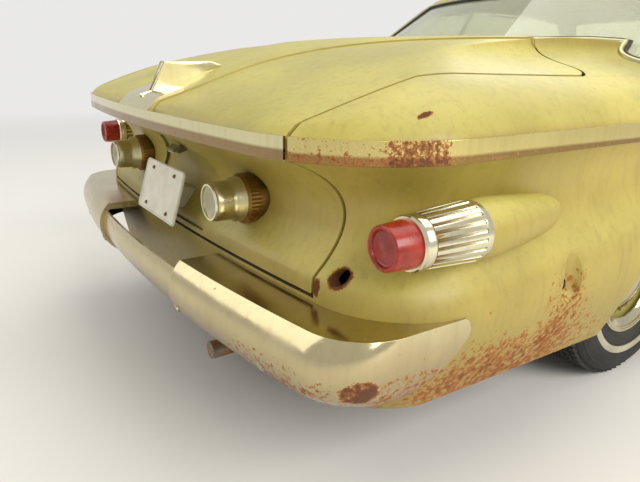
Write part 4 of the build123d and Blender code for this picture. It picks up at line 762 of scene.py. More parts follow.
FLOORS = {"floor_and_sills": "floor_pan", "boot_floor_pan": "boot_floor", "wheel_tubs": "wheelhouses"}
RAILS = {"frame_rails": "chassis_rails", "frame_rails_rear": "rear_rails", "frame_rails_front": "front_rails"}
KNUCKLES = {f"knuckle_casting_{side_name}": f"knuckle_{side_name}" for side_name in SIDES}
RIMS = {f"rim_{place_name}": f"wheel_{place_name}" for place_name in WHEELS}
dress_all(
    (
        ((undercoat,), 0.001, 40, None, FLOORS),
        ((undercoat,), 0.003, 40, None, RAILS),
        ((old_steel,), 0.006, 40, None, {"petrol_tank": "fuel_tank"}),
        ((old_steel,), 0.001, 40, None, {"exhaust_pipe": "exhaust", "prop_shaft": "driveshaft"}),
        ((engine_enamel,), 0.006, 40, None, {"engine_block": "engine"}),
        ((cast_iron,), 0.001, 40, None, {"back_axle": "rear_axle", "springs": "leaf_springs"}),
        ((cast_iron,), 0.003, 40, None, {"front_arms": "front_suspension", "radiator_core": "radiator"}),
        ((cast_iron,), 0.002, 40, None, KNUCKLES),
        ((dash_enamel,), 0.008, 40, None, {"dash_panel": "dashboard"}),
        ((dash_enamel,), 0.001, 40, None, {"column_tube": "steering_column"}),
        ((ivory_plastic,), 0.0015, 40, None, {"steering_rim": "steering_wheel"}),
        ((wheel_enamel, chrome_clean, cast_iron), 0.0012, 32, wheel_rule, RIMS),
    )
)

# %% [markdown]
# ## Short calls for shapes
# Turned parts come from a profile carried round an axis, rods and mouldings from a curve with a
# bevel, and pressed parts from a rounded block. Each helper leaves its shape in place in the mesh, at
# the origin, with its normals outwards.

# %% Helpers that make shapes
def weld(mesh, flat_from=1000):
    """Merges doubles, turns faces outwards and smooths all but faces with many corners."""
    build = bmesh.new()
    build.from_mesh(mesh)
    bmesh.ops.remove_doubles(build, verts=build.verts, dist=1e-6)
    bmesh.ops.recalc_face_normals(build, faces=build.faces)
    for face in build.faces:
        face.smooth = len(face.verts) < flat_from
    build.to_mesh(mesh)
    build.free()


def closed_mesh(name, points, faces, smooth=40.0):
    """A welded mesh from points and faces, with edges sharp past an angle."""
    mesh = bpy.data.meshes.new(name)
    mesh.from_pydata([tuple(point) for point in points], [], faces)
    weld(mesh)
    mesh.set_sharp_from_angle(angle=math.radians(smooth))
    return mesh


def plain_mesh(piece):
    """The mesh that a piece's curve or modifiers make."""
    return bpy.data.meshes.new_from_object(piece.evaluated_get(bpy.context.evaluated_depsgraph_get()))


def turned(name, profile, centre, axis, finish, body=CAR, segments=64, smooth=40.0):
    """A lathe shape: the profile is a table of distance along the axis and radius."""
    turn = Vector(axis).normalized().to_track_quat("Z", "Y").to_matrix()
    points, faces = [], []
    for along, radius in profile:
        for step in range(segments):
            angle = 2 * math.pi * step / segments
            spot = Vector((radius * math.cos(angle), radius * math.sin(angle), along))
            points.append(turn @ spot + Vector(centre))
    for low in range(0, (len(profile) - 1) * segments, segments):
        for step in range(segments):
            after = (step + 1) % segments
            faces.append((low + step, low + after, low + segments + after, low + segments + step))
    return link_piece(name, closed_mesh(name, points, faces, smooth), body, finish)


def rod(name, points, radius, finish, body=CAR, closed=False, sides=6):
    """A round rod along points; more sides make it rounder."""
    curve = bpy.data.curves.new(name, "CURVE")
    curve.dimensions = "3D"
    curve.bevel_depth = radius
    curve.bevel_resolution = sides
    curve.use_fill_caps = True
    spline = curve.splines.new("POLY")
    spline.points.add(len(points) - 1)
    for target, point in zip(spline.points, points):
        target.co = (*point, 1.0)
    spline.use_cyclic_u = closed
    holder = new_object(name, curve)
    mesh = plain_mesh(holder)
    bpy.data.objects.remove(holder)
    bpy.data.curves.remove(curve)
    mesh.name = name
    mesh.materials.clear()
    weld(mesh, 5)
    return link_piece(name, mesh, body, finish)


BLOCK_CORNERS = [(x, y, z) for z in (-1, 1) for x, y in ((-1, -1), (1, -1), (1, 1), (-1, 1))]
BLOCK_FACES = ((0, 3, 2, 1), (4, 5, 6, 7), (0, 1, 5, 4), (1, 2, 6, 5), (2, 3, 7, 6), (3, 0, 4, 7))


def blocks(name, places, finish, edge=0.002, body=CAR, segments=3):
    """Rounded blocks in one piece; places is a table of centre, size and perhaps a turn."""
    points, faces = [], []
    for centre, size, *turn in places:
        faces.extend(tuple(index + len(points) for index in face) for face in BLOCK_FACES)
        for corner in BLOCK_CORNERS:
            spot = Vector([way * length / 2 for way, length in zip(corner, size)])
            points.append((turn[0] @ spot if turn else spot) + Vector(centre))
    piece = link_piece(name, closed_mesh(name, points, faces, 60), body, finish)
    round_edges(piece, edge, segments)
    return piece


print("shape helpers ready")

# %% [markdown]
# ## Parts that repeat
# Bolt heads, tread blocks, knurls and slats repeat by a rule, so Geometry Nodes make them. One tree
# stands a shape on every point of a mesh, turned to the point's own direction; another sets blocks in
# a ring. Both end in Realize Instances and Set Material, because the export drops instances.

# %% Helpers for geometry trees
def close_geometry(tree, instances, start, end):
    """Ends a tree: its instances are made real and take the finish."""
    real = tree.out("GeometryNodeRealizeInstances", {"Geometry": instances})
    finished = tree.out("GeometryNodeSetMaterial", {"Geometry": real, "Material": start["Finish"]})
    tree.put(finished, end[0])


def run_tree(name, mesh, tree, body, finish, move=None, **values):
    """Runs a tree on a mesh, keeps the result as a plain mesh and puts it on its body."""
    holder = new_object(name + "_points", mesh)
    modifier = holder.modifiers.new("pattern", "NODES")
    modifier.node_group = tree.tree
    items = [item for item in tree.tree.interface.items_tree if item.in_out == "INPUT"]
    for item in items:
        if item.name in values:
            modifier[item.identifier] = values[item.name]
        elif item.name == "Finish":
            modifier[item.identifier] = finish
    result = plain_mesh(holder)
    bpy.data.objects.remove(holder)
    result.name = name
    if move:
        result.transform(move)
    result.materials.clear()
    return link_piece(name, result, body, finish)


# %% [markdown]
# The first tree makes a screw or bolt head from a short cylinder on a flat washer.

# %% Build the tree for fasteners
stand_shapes, start, end = open_group(
    "stand_shapes",
    "GeometryNodeTree",
    {
        "Geometry": "Geometry",
        "Finish": "Material",
        "Sides": 6,
        "Radius": 0.009,
        "Height": 0.006,
        "Washer": 1.35,
    },
    {"Geometry": "Geometry"},
)
tree = stand_shapes
head_inputs = {"Vertices": start["Sides"], "Radius": start["Radius"], "Depth": start["Height"]}
head = tree.out("GeometryNodeMeshCylinder", head_inputs)
lift = tree.out("ShaderNodeCombineXYZ", {"Z": tree.times(start["Height"], 0.75)})
raised = tree.out("GeometryNodeTransform", {"Geometry": head, "Translation": lift})
washer_inputs = {
    "Vertices": 16,
    "Radius": tree.times(start["Radius"], start["Washer"]),
    "Depth": tree.times(start["Height"], 0.5),
}
washer = tree.out("GeometryNodeMeshCylinder", washer_inputs)
both = tree.node("GeometryNodeJoinGeometry")
for shape in (raised, washer):
    tree.put(shape, both.inputs[0])
direction = tree.out("GeometryNodeInputNamedAttribute", {"Name": "direction"}, data_type="FLOAT_VECTOR")
turn = tree.out("FunctionNodeAlignRotationToVector", {"Vector": direction}, axis="Z")
stand_inputs = {"Points": start["Geometry"], "Instance": both.outputs[0], "Rotation": turn}
close_geometry(tree, tree.out("GeometryNodeInstanceOnPoints", stand_inputs), start, end)


def fasteners(name, spots, radius, height, finish, body=CAR, sides=6, washer=1.35):
    """Bolt or screw heads at a table of places and directions."""
    mesh = bpy.data.meshes.new(name)
    mesh.from_pydata([tuple(place) for place, direction in spots], [], [])
    facing = mesh.attributes.new("direction", "FLOAT_VECTOR", "POINT")
    for item, (place, direction) in zip(facing.data, spots):
        item.vector = direction
    sizes = {"Sides": sides, "Radius": radius, "Height": height, "Washer": washer}
    return run_tree(name, mesh, stand_shapes, body, finish, **sizes)


# %% [markdown]
# The ring tree starts from a circle of points round the Z axis. Each point carries a block that looks
# outwards, and a move puts the finished ring in place.

# %% Build the ring tree
ring_blocks, start, end = open_group(
    "ring_blocks",
    "GeometryNodeTree",
    {
        "Geometry": "Geometry",
        "Finish": "Material",
        "Count": 60,
        "Radius": 0.34,
        "Block": (0.01, 0.02, 0.01),
        "Twist": 0.0,
    },
    {"Geometry": "Geometry"},
)
tree = ring_blocks
circle = tree.out("GeometryNodeMeshCircle", {"Vertices": start["Count"], "Radius": start["Radius"]})
brick = tree.out("GeometryNodeMeshCube", {"Size": start["Block"]})
spot = tree.out("GeometryNodeInputPosition")
outward = tree.out("FunctionNodeAlignRotationToVector", {"Vector": spot}, axis="X", pivot_axis="Z")
slant = tree.out("ShaderNodeCombineXYZ", {"X": start["Twist"]})
round_inputs = {"Points": circle, "Instance": brick, "Rotation": outward}
set_round = tree.out("GeometryNodeInstanceOnPoints", round_inputs)
slanted = tree.out("GeometryNodeRotateInstances", {"Instances": set_round, "Rotation": slant})
close_geometry(tree, slanted, start, end)


def ring(name, count, radius, block, centre, axis, finish, body=CAR, twist=0.0):
    """A ring of blocks round an axis through a centre."""
    move = Matrix.Translation(centre) @ Vector(axis).to_track_quat("Z", "Y").to_matrix().to_4x4()
    sizes = {"Count": count, "Radius": radius, "Block": block, "Twist": twist}
    return run_tree(name, bpy.data.meshes.new(name), ring_blocks, body, finish, move, **sizes)


print("geometry trees ready")

# %% [markdown]
# ## Finding a place on a panel
# Handles, bolts and locks sit on curved sheet, so their place is found by shooting a ray at the
# dressed panel. The answer is the point and the direction that the sheet faces there.

# %% Helpers that find the sheet
surface_trees = {}


def sheet_at(piece_name, start, direction):
    """The point and facing of a piece's surface where a ray meets it."""
    if piece_name not in surface_trees:
        mesh = bpy.data.objects[piece_name].data
        points = [vertex.co for vertex in mesh.vertices]
        faces = [tuple(face.vertices) for face in mesh.polygons]
        surface_trees[piece_name] = BVHTree.FromPolygons(points, faces)
    place, facing, _, _ = surface_trees[piece_name].ray_cast(Vector(start), Vector(direction))
    if place is None:
        raise ValueError(f"no surface of {piece_name} lies that way from {tuple(start)}")
    return place, -facing if facing.dot(Vector(direction)) > 0 else facing


def from_side(piece_name, side, x, z):
    """The place and facing that shows from straight beside the car."""
    return sheet_at(piece_name, (x, side * 1.3, z), (0, -side, 0))


def from_above(piece_name, x, y):
    """The place and facing that shows from straight above."""
    return sheet_at(piece_name, (x, y, 1.6), (0, 0, -1))


# %% [markdown]
# ## Tail lamps and reversing lamps
# Each tail lamp is a red lens in a fluted bright bezel at the end of a painted torpedo. The lens is
# moulded with a slight taper, a flat rim and a shallow dish, so it is turned from its profile, and a
# thin bright ring holds its foot. A reversing lamp's base is a dark casting with a knurled edge, made
# of a ring of small blocks, and its face sits in a bright ring.

# %% Turn the lenses, the rings and the knurls
LENS_STEPS = (
    (0.000, 0.0000), (0.000, 0.0490), (0.010, 0.0490), (0.058, 0.0455), (0.064, 0.0440),
    (0.066, 0.0415), (0.066, 0.0375), (0.064, 0.0355), (0.059, 0.0340), (0.057, 0.0310),
    (0.0565, 0.0250), (0.0580, 0.0160), (0.0595, 0.0080), (0.0600, 0.0000),
)  # fmt: skip
HOLD_RING = (
    (-0.002, 0.0488), (-0.002, 0.0556), (0.004, 0.0562), (0.008, 0.0530), (0.008, 0.0488), (-0.002, 0.0488),
)  # fmt: skip
FACE_RING = (
    (0.000, 0.0415), (0.000, 0.0460), (0.004, 0.0475), (0.008, 0.0460), (0.008, 0.0415), (0.000, 0.0415),
)  # fmt: skip
REARWARD = (-1, 0, 0)
for side_name, side in SIDES.items():
    foot = (LAMP_REAR_X, side * LAMP_Y, LAMP_Z)
    lens = turned(f"tail_lens_{side_name}", LENS_STEPS, foot, REARWARD, red_lens, CAR, 96, 30)
    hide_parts("tail_lamp_lenses")
    turned(f"tail_lens_ring_{side_name}", HOLD_RING, foot, REARWARD, chrome_clean, CAR, 96)
    base, face = ((x, side * REVERSING_Y, REVERSING_Z) for x in (-2.470, -2.564))
    knurl = (0.0024, 0.0056, 0.028)
    ring(f"reversing_knurl_{side_name}", 40, 0.0640, knurl, base, REARWARD, chrome_groove, "trunk_lid")
    turned(f"reversing_ring_{side_name}", FACE_RING, face, REARWARD, chrome_clean, "trunk_lid")
print("tail lenses", len(LENS_STEPS), "steps")

# %% [markdown]
# ## The blank plate
# The plate leans forward at the top on its bracket. It stays blank. A pale pressed rim runs round it,
# four small bolts hold it, and a hooded lamp stands over it in the arch of the lid.

# %% Rim, bolt and light the plate
PLATE_TILT = math.radians(17)
PLATE_MIDDLE = Vector((-2.547, 0, 0.637))
PLATE_FRONT = 0.005
RIM_CORNER = 0.008
plate_out = Vector((-math.cos(PLATE_TILT), 0, math.sin(PLATE_TILT)))
plate_up = Vector((math.sin(PLATE_TILT), 0, math.cos(PLATE_TILT)))


def on_plate(across, rise, out=0.0):
    """A place on the plate: across it, up it and out from its face."""
    return PLATE_MIDDLE + Vector((0, across, 0)) + plate_up * rise + plate_out * (PLATE_FRONT + out)


rim_path = []
for corner, (across, rise) in enumerate(((1, 1), (-1, 1), (-1, -1), (1, -1))):
    for step in range(5):
        angle = math.radians(90 * corner + 22.5 * step)
        shift = RIM_CORNER * math.cos(angle), RIM_CORNER * math.sin(angle)
        rim_path.append(on_plate(across * 0.1455 + shift[0], rise * 0.069 + shift[1]))
rod("plate_rim", rim_path, 0.0026, plate_enamel, "trunk_lid", closed=True)
plate_spots = [(on_plate(y, z, 0.0005), plate_out) for y in (-0.089, 0.089) for z in (-0.058, 0.058)]
fasteners("plate_bolts", plate_spots, 0.0048, 0.0034, old_steel, "trunk_lid")
hood_middle = Vector((-2.500, 0, 0.764))
lean = Matrix.Rotation(-math.radians(20), 3, "Y")
hood_back = hood_middle + Vector((0.022, 0, -0.004))
hood_places = ((hood_middle, (0.030, 0.064, 0.012), lean), (hood_back, (0.03, 0.030, 0.018), lean))
blocks("plate_lamp_hood", hood_places, inner_metal, 0.004, "trunk_lid")
glass_places = ((hood_middle + Vector((-0.002, 0, -0.007)), (0.020, 0.046, 0.005), lean),)
blocks("plate_lamp_glass", glass_places, frosted_lens, 0.0015, "trunk_lid")
print("plate rim", len(rim_path), "points")

# %% [markdown]
# ## Bumper bolts
# Round headed bolts hold the bumper bars to their irons, low on the pressing. Their places come from
# a ray shot at each bumper, so every head lies flat on the curve of the metal.

# %% Set the bumper bolts
BOLT_Z = 0.400
for piece_name, way in (("rear_bumper", 1), ("front_bumper", -1)):
    ends = [(-3.2 * way, side * across, BOLT_Z) for across in (0.36, 0.74) for side in (-1, 1)]
    spots = [sheet_at(piece_name, start, (way, 0, 0)) for start in ends]
    fasteners(f"{piece_name}_bolts", spots, 0.0100, 0.003, chrome_dull, CAR, 16, 1.3)
print("bumper bolts", len(spots), "a bumper")

# %% [markdown]
# ## Tyres and wheel trims
# A tyre is a turned carcass with a bead, a bulging wall with moulded rings, and a shoulder. The tread
# is five ribs cut into blocks, and blocks repeat by a rule, so each rib is a ring from the tree. A slim
# pale band on the outer wall is its own thin ring. The valve stands out of the rim, and a bright
# turned ring trims the rim's edge.

# %% Turn the tyres and set their tread
TYRE_HALF_PROFILE = (
    (0.000, 0.3405), (0.058, 0.3400), (0.071, 0.3360), (0.079, 0.3290), (0.084, 0.3200),
    (0.0865, 0.3190), (0.0870, 0.3160), (0.0860, 0.3140), (0.0925, 0.2960), (0.0945, 0.2800),
    (0.0940, 0.2790), (0.0950, 0.2770), (0.0940, 0.2740), (0.0935, 0.2560), (0.0900, 0.2330),
    (0.0905, 0.2310), (0.0890, 0.2280), (0.0860, 0.2120), (0.0830, 0.2080), (0.0835, 0.2050),
    (0.0800, 0.2000), (0.0760, 0.1900), (0.0720, 0.1840), (0.0650, 0.1815), (0.0000, 0.1815),
)  # fmt: skip
TREAD_RIBS = (
    ("shoulder_out", 0.0560, 0.0200, 0.0215, 0.30),
    ("middle_out", 0.0285, 0.0195, 0.0245, -0.30),
    ("centre", 0.0000, 0.0210, 0.0245, 0.30),
    ("middle_in", -0.0285, 0.0195, 0.0245, -0.30),
    ("shoulder_in", -0.0560, 0.0200, 0.0215, 0.30),
)
WALL_BAND = (
    (0.0915, 0.2400), (0.0948, 0.2400), (0.0955, 0.2560), (0.0950, 0.2630), (0.0925, 0.2640), (0.0915, 0.2400),
)  # fmt: skip
VALVE = (
    (0.000, 0.0000), (0.000, 0.0045), (0.012, 0.0042), (0.013, 0.0030), (0.022, 0.0030), (0.024, 0.0042),
    (0.032, 0.0042), (0.034, 0.0000),
)  # fmt: skip
TRIM_RING = (
    (0.0560, 0.1500), (0.0610, 0.1500), (0.0690, 0.1600), (0.0740, 0.1720), (0.0790, 0.1790),
    (0.0830, 0.1805), (0.0835, 0.1850), (0.0800, 0.1860), (0.0750, 0.1800), (0.0680, 0.1740),
    (0.0620, 0.1640), (0.0560, 0.1500),
)  # fmt: skip
other_half = [(-along, radius) for along, radius in reversed(TYRE_HALF_PROFILE)][1:-1]
tyre_profile = [*TYRE_HALF_PROFILE, *other_half, TYRE_HALF_PROFILE[0]]
for place_name, hub in WHEELS.items():
    body = f"wheel_{place_name}"
    outward = 1 if hub.y > 0 else -1
    out = (0, outward, 0)
    tyre = turned(f"tyre_{place_name}_carcass", tyre_profile, hub, out, tyre_rubber, body, 128, 36)
    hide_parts(f"tyre_{place_name}")
    for rib, along, width, length, twist in TREAD_RIBS:
        centre, block = hub + Vector(out) * along, (0.0112, length, width)
        ring(f"tread_{place_name}_{rib}", 72, 0.3438, block, centre, (0, 1, 0), tyre_rubber, body, twist)
    turned(f"wall_band_{place_name}", WALL_BAND, hub, out, band_rubber, body, 128, 36)
    valve_foot = hub + Vector((0.0, outward * 0.030, 0.158))
    turned(f"valve_{place_name}", VALVE, valve_foot, (0, outward, 0.25), tyre_rubber, body, 16)
    turned(f"trim_ring_{place_name}", TRIM_RING, hub, out, chrome_clean, body, 96)
print("tyres", len(WHEELS), "ribs", len(TREAD_RIBS))

# %% [markdown]
# ## Headlamps
# Four sealed lamps stand in bright rings. Each has a domed lens with a flat rim, a bright bowl behind
# it and a small shield before the bulb. The CAD cylinder gives the place; the turned set stands for it.

# %% Turn the headlamps
LAMP_LENS = (
    (-0.0030, 0.0000), (-0.0030, 0.0640), (0.0000, 0.0652), (0.0040, 0.0640), (0.0075, 0.0560),
    (0.0105, 0.0420), (0.0125, 0.0240), (0.0132, 0.0000),
)  # fmt: skip
LAMP_BOWL = (
    (-0.0780, 0.0000), (-0.0780, 0.0180), (-0.0640, 0.0400), (-0.0380, 0.0570), (-0.0060, 0.0650),
    (-0.0045, 0.0670), (-0.0100, 0.0675), (-0.0420, 0.0610), (-0.0700, 0.0450), (-0.0880, 0.0220),
    (-0.0890, 0.0000),
)  # fmt: skip
LAMP_RING = (
    (-0.0060, 0.0655), (0.0010, 0.0650), (0.0060, 0.0675), (0.0085, 0.0715), (0.0070, 0.0765),
    (0.0010, 0.0800), (-0.0060, 0.0805), (-0.0060, 0.0655),
)  # fmt: skip
BULB_SHIELD = ((-0.0500, 0.0000), (-0.0500, 0.0120), (-0.0430, 0.0135), (-0.0360, 0.0110), (-0.0330, 0.0000))
HEADLAMPS = {"outer": (0.765, 2.505), "inner": (0.620, 2.522)}
FORWARD = (1, 0, 0)
for lamp_name, (lamp_y, lamp_x) in HEADLAMPS.items():
    for side_name, side in SIDES.items():
        centre = (lamp_x, side * lamp_y, 0.689)
        label = f"{lamp_name}_{side_name}"
        lens = turned(f"headlamp_lens_{label}", LAMP_LENS, centre, FORWARD, lamp_glass, CAR, 96, 50)
        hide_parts("headlamps")
        turned(f"headlamp_bowl_{label}", LAMP_BOWL, centre, FORWARD, chrome_clean, CAR, 96, 50)
        turned(f"headlamp_ring_{label}", LAMP_RING, centre, FORWARD, chrome_clean, CAR, 96)
        turned(f"bulb_shield_{label}", BULB_SHIELD, centre, FORWARD, chrome_clean, CAR, 32, 50)
print("headlamps", 2 * len(HEADLAMPS))

# %% [markdown]
# ## Seats
# A bench seat is four vinyl pads on springs. Each starts as a rounded block a little smaller than the
# frame that it covers. The block is remeshed evenly and blown up as cloth, with its movement capped, so
# that the middle crowns and the edges pull in. The sewn channels come after that, because the remesh
# would wipe them out.

# %% Helpers that make a pad
PAD_INSET = 0.006
CLOTH_FRAMES = 20


def pad_block(name, side, half_width):
    """A bench pad: the side outline, pulled in a little, is carried across the car."""
    middle = Vector((sum(x for x, z in side) / len(side), 0, sum(z for x, z in side) / len(side)))
    points = []
    for across in (-half_width + PAD_INSET, half_width - PAD_INSET):
        for x, z in side:
            pull = (middle - Vector((x, 0, z))).normalized() * PAD_INSET
            points.append((x + pull.x, across, z + pull.z))
    count = len(side)
    faces = [tuple(range(count)), tuple(reversed(range(count, 2 * count)))]
    for step in range(count):
        after = (step + 1) % count
        faces.append((step, step + count, after + count, after))
    return new_object(name, closed_mesh(name, points, faces, 180))


def apply_all(piece):
    """Replaces a piece's mesh by what its modifiers make of it."""
    result = plain_mesh(piece)
    piece.modifiers.clear()
    piece.data = result


def read_points(piece, what="co"):
    """A table of a piece's points or their normals."""
    values = np.empty(len(piece.data.vertices) * 3)
    piece.data.vertices.foreach_get(what, values)
    return values.reshape(-1, 3)


def blow_up(piece, cap):
    """Runs the pad as cloth under pressure and caps how far each point moves."""
    first = read_points(piece)
    cloth = piece.modifiers.new("cloth", "CLOTH")
    cloth.settings.use_pressure = True
    cloth.settings.uniform_pressure_force = 4.0
    cloth.settings.effector_weights.gravity = 0.0
    cloth.settings.quality = 4
    cloth.collision_settings.use_collision = False
    cloth.collision_settings.use_self_collision = False
    for frame_number in range(1, CLOTH_FRAMES + 1):
        bpy.context.scene.frame_set(frame_number)
    apply_all(piece)
    bpy.context.scene.frame_set(1)
    shift = read_points(piece) - first
    length = np.linalg.norm(shift, axis=1, keepdims=True)
    shift *= np.minimum(1.0, cap / np.maximum(length, 1e-9))
    piece.data.vertices.foreach_set("co", (first + shift).ravel())


# %% [markdown]
# The sewing presses straight channels into the face that people sit on. A seam runs round that face's
# border, and between two channels the pad swells a little.

# %% Helper that sews a pad
SEAM_WIDTH = 0.0045
SEAM_FADE = 0.008


def groove(distance):
    """One at a seam, falling to nothing beside it."""
    return np.exp(-((distance / SEAM_WIDTH) ** 2))


def sew(piece, pitch, depth, half_width, facing, band):
    """Presses sewn channels into the face that people sit on, and a seam round its border."""
    places, normals = read_points(piece), read_points(piece, "normal")
    shows = np.clip((normals @ np.array(facing) - 0.55) / 0.25, 0, 1)
    run = places @ np.array((facing[2], 0, -facing[0]))
    low, high = np.percentile(run[shows > 0.5], (1, 99))
    borders = (run - low - band, high - band - run, half_width - band - np.abs(places[:, 1]))
    inside = np.prod([np.clip(border / SEAM_FADE, 0, 1) for border in borders], axis=0)
    phase = (places[:, 1] / pitch) % 1.0
    near = np.minimum(phase, 1 - phase)
    crown_rise = 1.0 - (2 * near - 1) ** 2
    rim = np.clip(sum(groove(border) for border in borders), 0, 1)
    channels = 0.35 * depth * crown_rise - depth * groove(near * pitch)
    places += normals * (shows * (inside * channels - 0.7 * depth * rim))[:, None]
    piece.data.vertices.foreach_set("co", places.ravel())
    piece.data.update()


# %% [markdown]
# The table gives each pad: its node, its outline from the side, the way it faces and half its width.
# The front bench folds no joint, so all four ride on the car's body.

# %% Make the four bench pads
PADS = {
    "front_cushion": (
        "front_seat",
        (
            (-0.150, 0.310), (0.320, 0.310), (0.392, 0.420), (0.400, 0.500), (0.365, 0.545), (-0.120, 0.520),
            (-0.150, 0.500),
        ),
        (-0.10, 0, 0.995),
        0.700,
    ),
    "front_backrest": (
        "front_seat",
        ((-0.245, 0.425), (-0.160, 0.430), (-0.128, 0.530), (-0.222, 0.890), (-0.262, 0.918), (-0.312, 0.896)),
        (0.97, 0, 0.25),
        0.700,
    ),
    "rear_cushion": (
        "rear_seat",
        ((-0.940, 0.310), (-0.490, 0.310), (-0.440, 0.420), (-0.446, 0.515), (-0.890, 0.500), (-0.940, 0.498)),
        (0.04, 0, 0.999),
        0.584,
    ),
    "rear_backrest": (
        "rear_seat",
        ((-1.046, 0.530), (-0.945, 0.530), (-0.890, 0.552), (-0.966, 0.890), (-1.008, 0.918), (-1.046, 0.908)),
        (0.975, 0, 0.22),
        0.584,
    ),
}  # fmt: skip
for pad_name, (node, side, facing, pad_half) in PADS.items():
    pad = pad_block(pad_name, side, pad_half)
    round_edges(pad, 0.026, 3)
    even = pad.modifiers.new("even", "REMESH")
    even.mode = "VOXEL"
    even.voxel_size = 0.013
    even.use_smooth_shade = True
    apply_all(pad)
    blow_up(pad, cap=0.008)
    finer = pad.modifiers.new("finer", "SUBSURF")
    finer.levels = finer.render_levels = 1
    apply_all(pad)
    sew(pad, pitch=0.056, depth=0.007, half_width=pad_half, facing=facing, band=0.085)
    pad.data.materials.clear()
    pad.data.materials.append(vinyl)
    for face in pad.data.polygons:
        face.use_smooth = True
    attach(pad, CAR)
    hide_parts(node)
    print(pad_name, len(pad.data.polygons), "faces")

# %% [markdown]
# Beside the rear seat the wheel tubs come in, and each is covered by a trimmed side box with an
# armrest on top. The armrest is a rounded block, wider than the box under it.

# %% Trim the sides of the rear seat
for side_name, side in SIDES.items():
    box_place = ((-0.650, side * 0.722, 0.480), (0.290, 0.236, 0.360))
    blocks(f"rear_side_trim_{side_name}", (box_place,), vinyl_dark, 0.012, segments=4)
    rest_place = ((-0.715, side * 0.712, 0.700), (0.450, 0.226, 0.062))
    blocks(f"rear_armrest_{side_name}", (rest_place,), vinyl, 0.022, segments=5)
print("rear sides trimmed")

# %% [markdown]
# ## Window trim
# The fixed windows stand in a black seal under a bright moulding. Both follow the pane's own outline,
# which is read from the dressed pane: faces that join smoothly make a group, the group that faces out
# is the outer face, and the edges round it are chained into a loop. A loop can be spread along the
# face and lifted off it, so one helper serves seals, mouldings and belt rubbers.

# %% Helpers that read a pane's outline
SMOOTH_JOIN = math.radians(32)
LEAST_AREA = 0.08
LEAST_STEP = 0.012


def smooth_group(first):
    """The faces that join a face smoothly; a dictionary keeps the order in which they are met."""
    group, waiting = {}, [first]
    while waiting:
        face = waiting.pop()
        if face in group:
            continue
        group[face] = True
        for edge in face.edges:
            if len(edge.link_faces) == 2 and edge.calc_face_angle(3.2) < SMOOTH_JOIN:
                waiting.extend(other for other in edge.link_faces if other not in group)
    return group


def group_border(group):
    """The chain of points round a group, and at each point the ways out of it and off its faces."""
    chain, moves = {}, {}
    for face in group:
        for loop in face.loops:
            if any(other is not face and other in group for other in loop.edge.link_faces):
                continue
            start, after = loop.vert, loop.link_loop_next.vert
            chain[start] = after
            side = (after.co - start.co).cross(face.normal).normalized()
            for vertex in (start, after):
                moves.setdefault(vertex, []).append((side, face.normal.copy()))
    return chain, moves


def pane_outlines(piece_name, centre, spread, lift):
    """The outlines of a pane's outer faces, spread along each face and lifted off it."""
    build = bmesh.new()
    build.from_mesh(bpy.data.objects[piece_name].data)
    seen, outlines = set(), []
    for first in build.faces:
        if first in seen:
            continue
        group = smooth_group(first)
        seen.update(group)
        area = sum(face.calc_area() for face in group)
        facing = sum((face.normal * face.calc_area() for face in group), Vector())
        middle = sum((face.calc_center_median() * face.calc_area() for face in group), Vector())
        if area < LEAST_AREA or facing.dot(middle / area - Vector(centre)) < 0:
            continue
        chain, moves = group_border(group)
        while chain:
            path, vertex = [], next(iter(chain))
            while vertex in chain:
                out, off = (sum(ways, Vector()).normalized() for ways in zip(*moves[vertex]))
                point = vertex.co + out * spread + off * lift
                if not path or (point - path[-1]).length > LEAST_STEP:
                    path.append(point)
                vertex = chain.pop(vertex)
            if len(path) > 6:
                outlines.append(path)
    build.free()
    return outlines


# %% [markdown]
# The windscreen and the back window get seal and moulding all round, the quarter windows a slimmer
# pair. The door windows have no frame in a hardtop, only a belt rubber along the bottom of the glass.

# %% Frame the windows
FRAMED = {
    "windscreen": ((0.4, 0, 1.0), 0.0105, 0.0062),
    "back_window": ((-0.8, 0, 1.0), 0.0125, 0.0075),
    "quarter_windows": ((-0.8, 0, 1.1), 0.0060, 0.0045),
}
for piece_name, (centre, bright, seal) in FRAMED.items():
    for number, path in enumerate(pane_outlines(piece_name, centre, 0.004, 0.002)):
        rod(f"{piece_name}_moulding_{number}", path, bright, chrome_dull, closed=True, sides=4)
    for number, path in enumerate(pane_outlines(piece_name, centre, -0.012, 0.001)):
        rod(f"{piece_name}_seal_{number}", path, seal, rubber, closed=True, sides=3)
for side_name, side in SIDES.items():
    body = f"door_{side_name}"
    for path in pane_outlines(f"door_window_{side_name}", (0.2, 0, 1.1), 0.001, 0.004):
        high = min(point.z for point in path) + 0.045
        belt = [point for point in path if point.z < high and -0.40 < point.x < 0.80]
        belt.sort(key=lambda point: point.x)
        rod(f"door_belt_rubber_{side_name}", belt, 0.0055, rubber, body, sides=3)
        beside = [point + Vector((0, side * 0.012, -0.001)) for point in belt]
        rod(f"door_belt_moulding_{side_name}", beside, 0.0065, chrome_dull, body, sides=3)
print("windows framed", len(FRAMED))

# %% [markdown]
# A drip rail runs along each side of the roof, from the foot of the front pillar to the back of the
# quarter window. Its line follows the top of the side windows, a little above the glass.

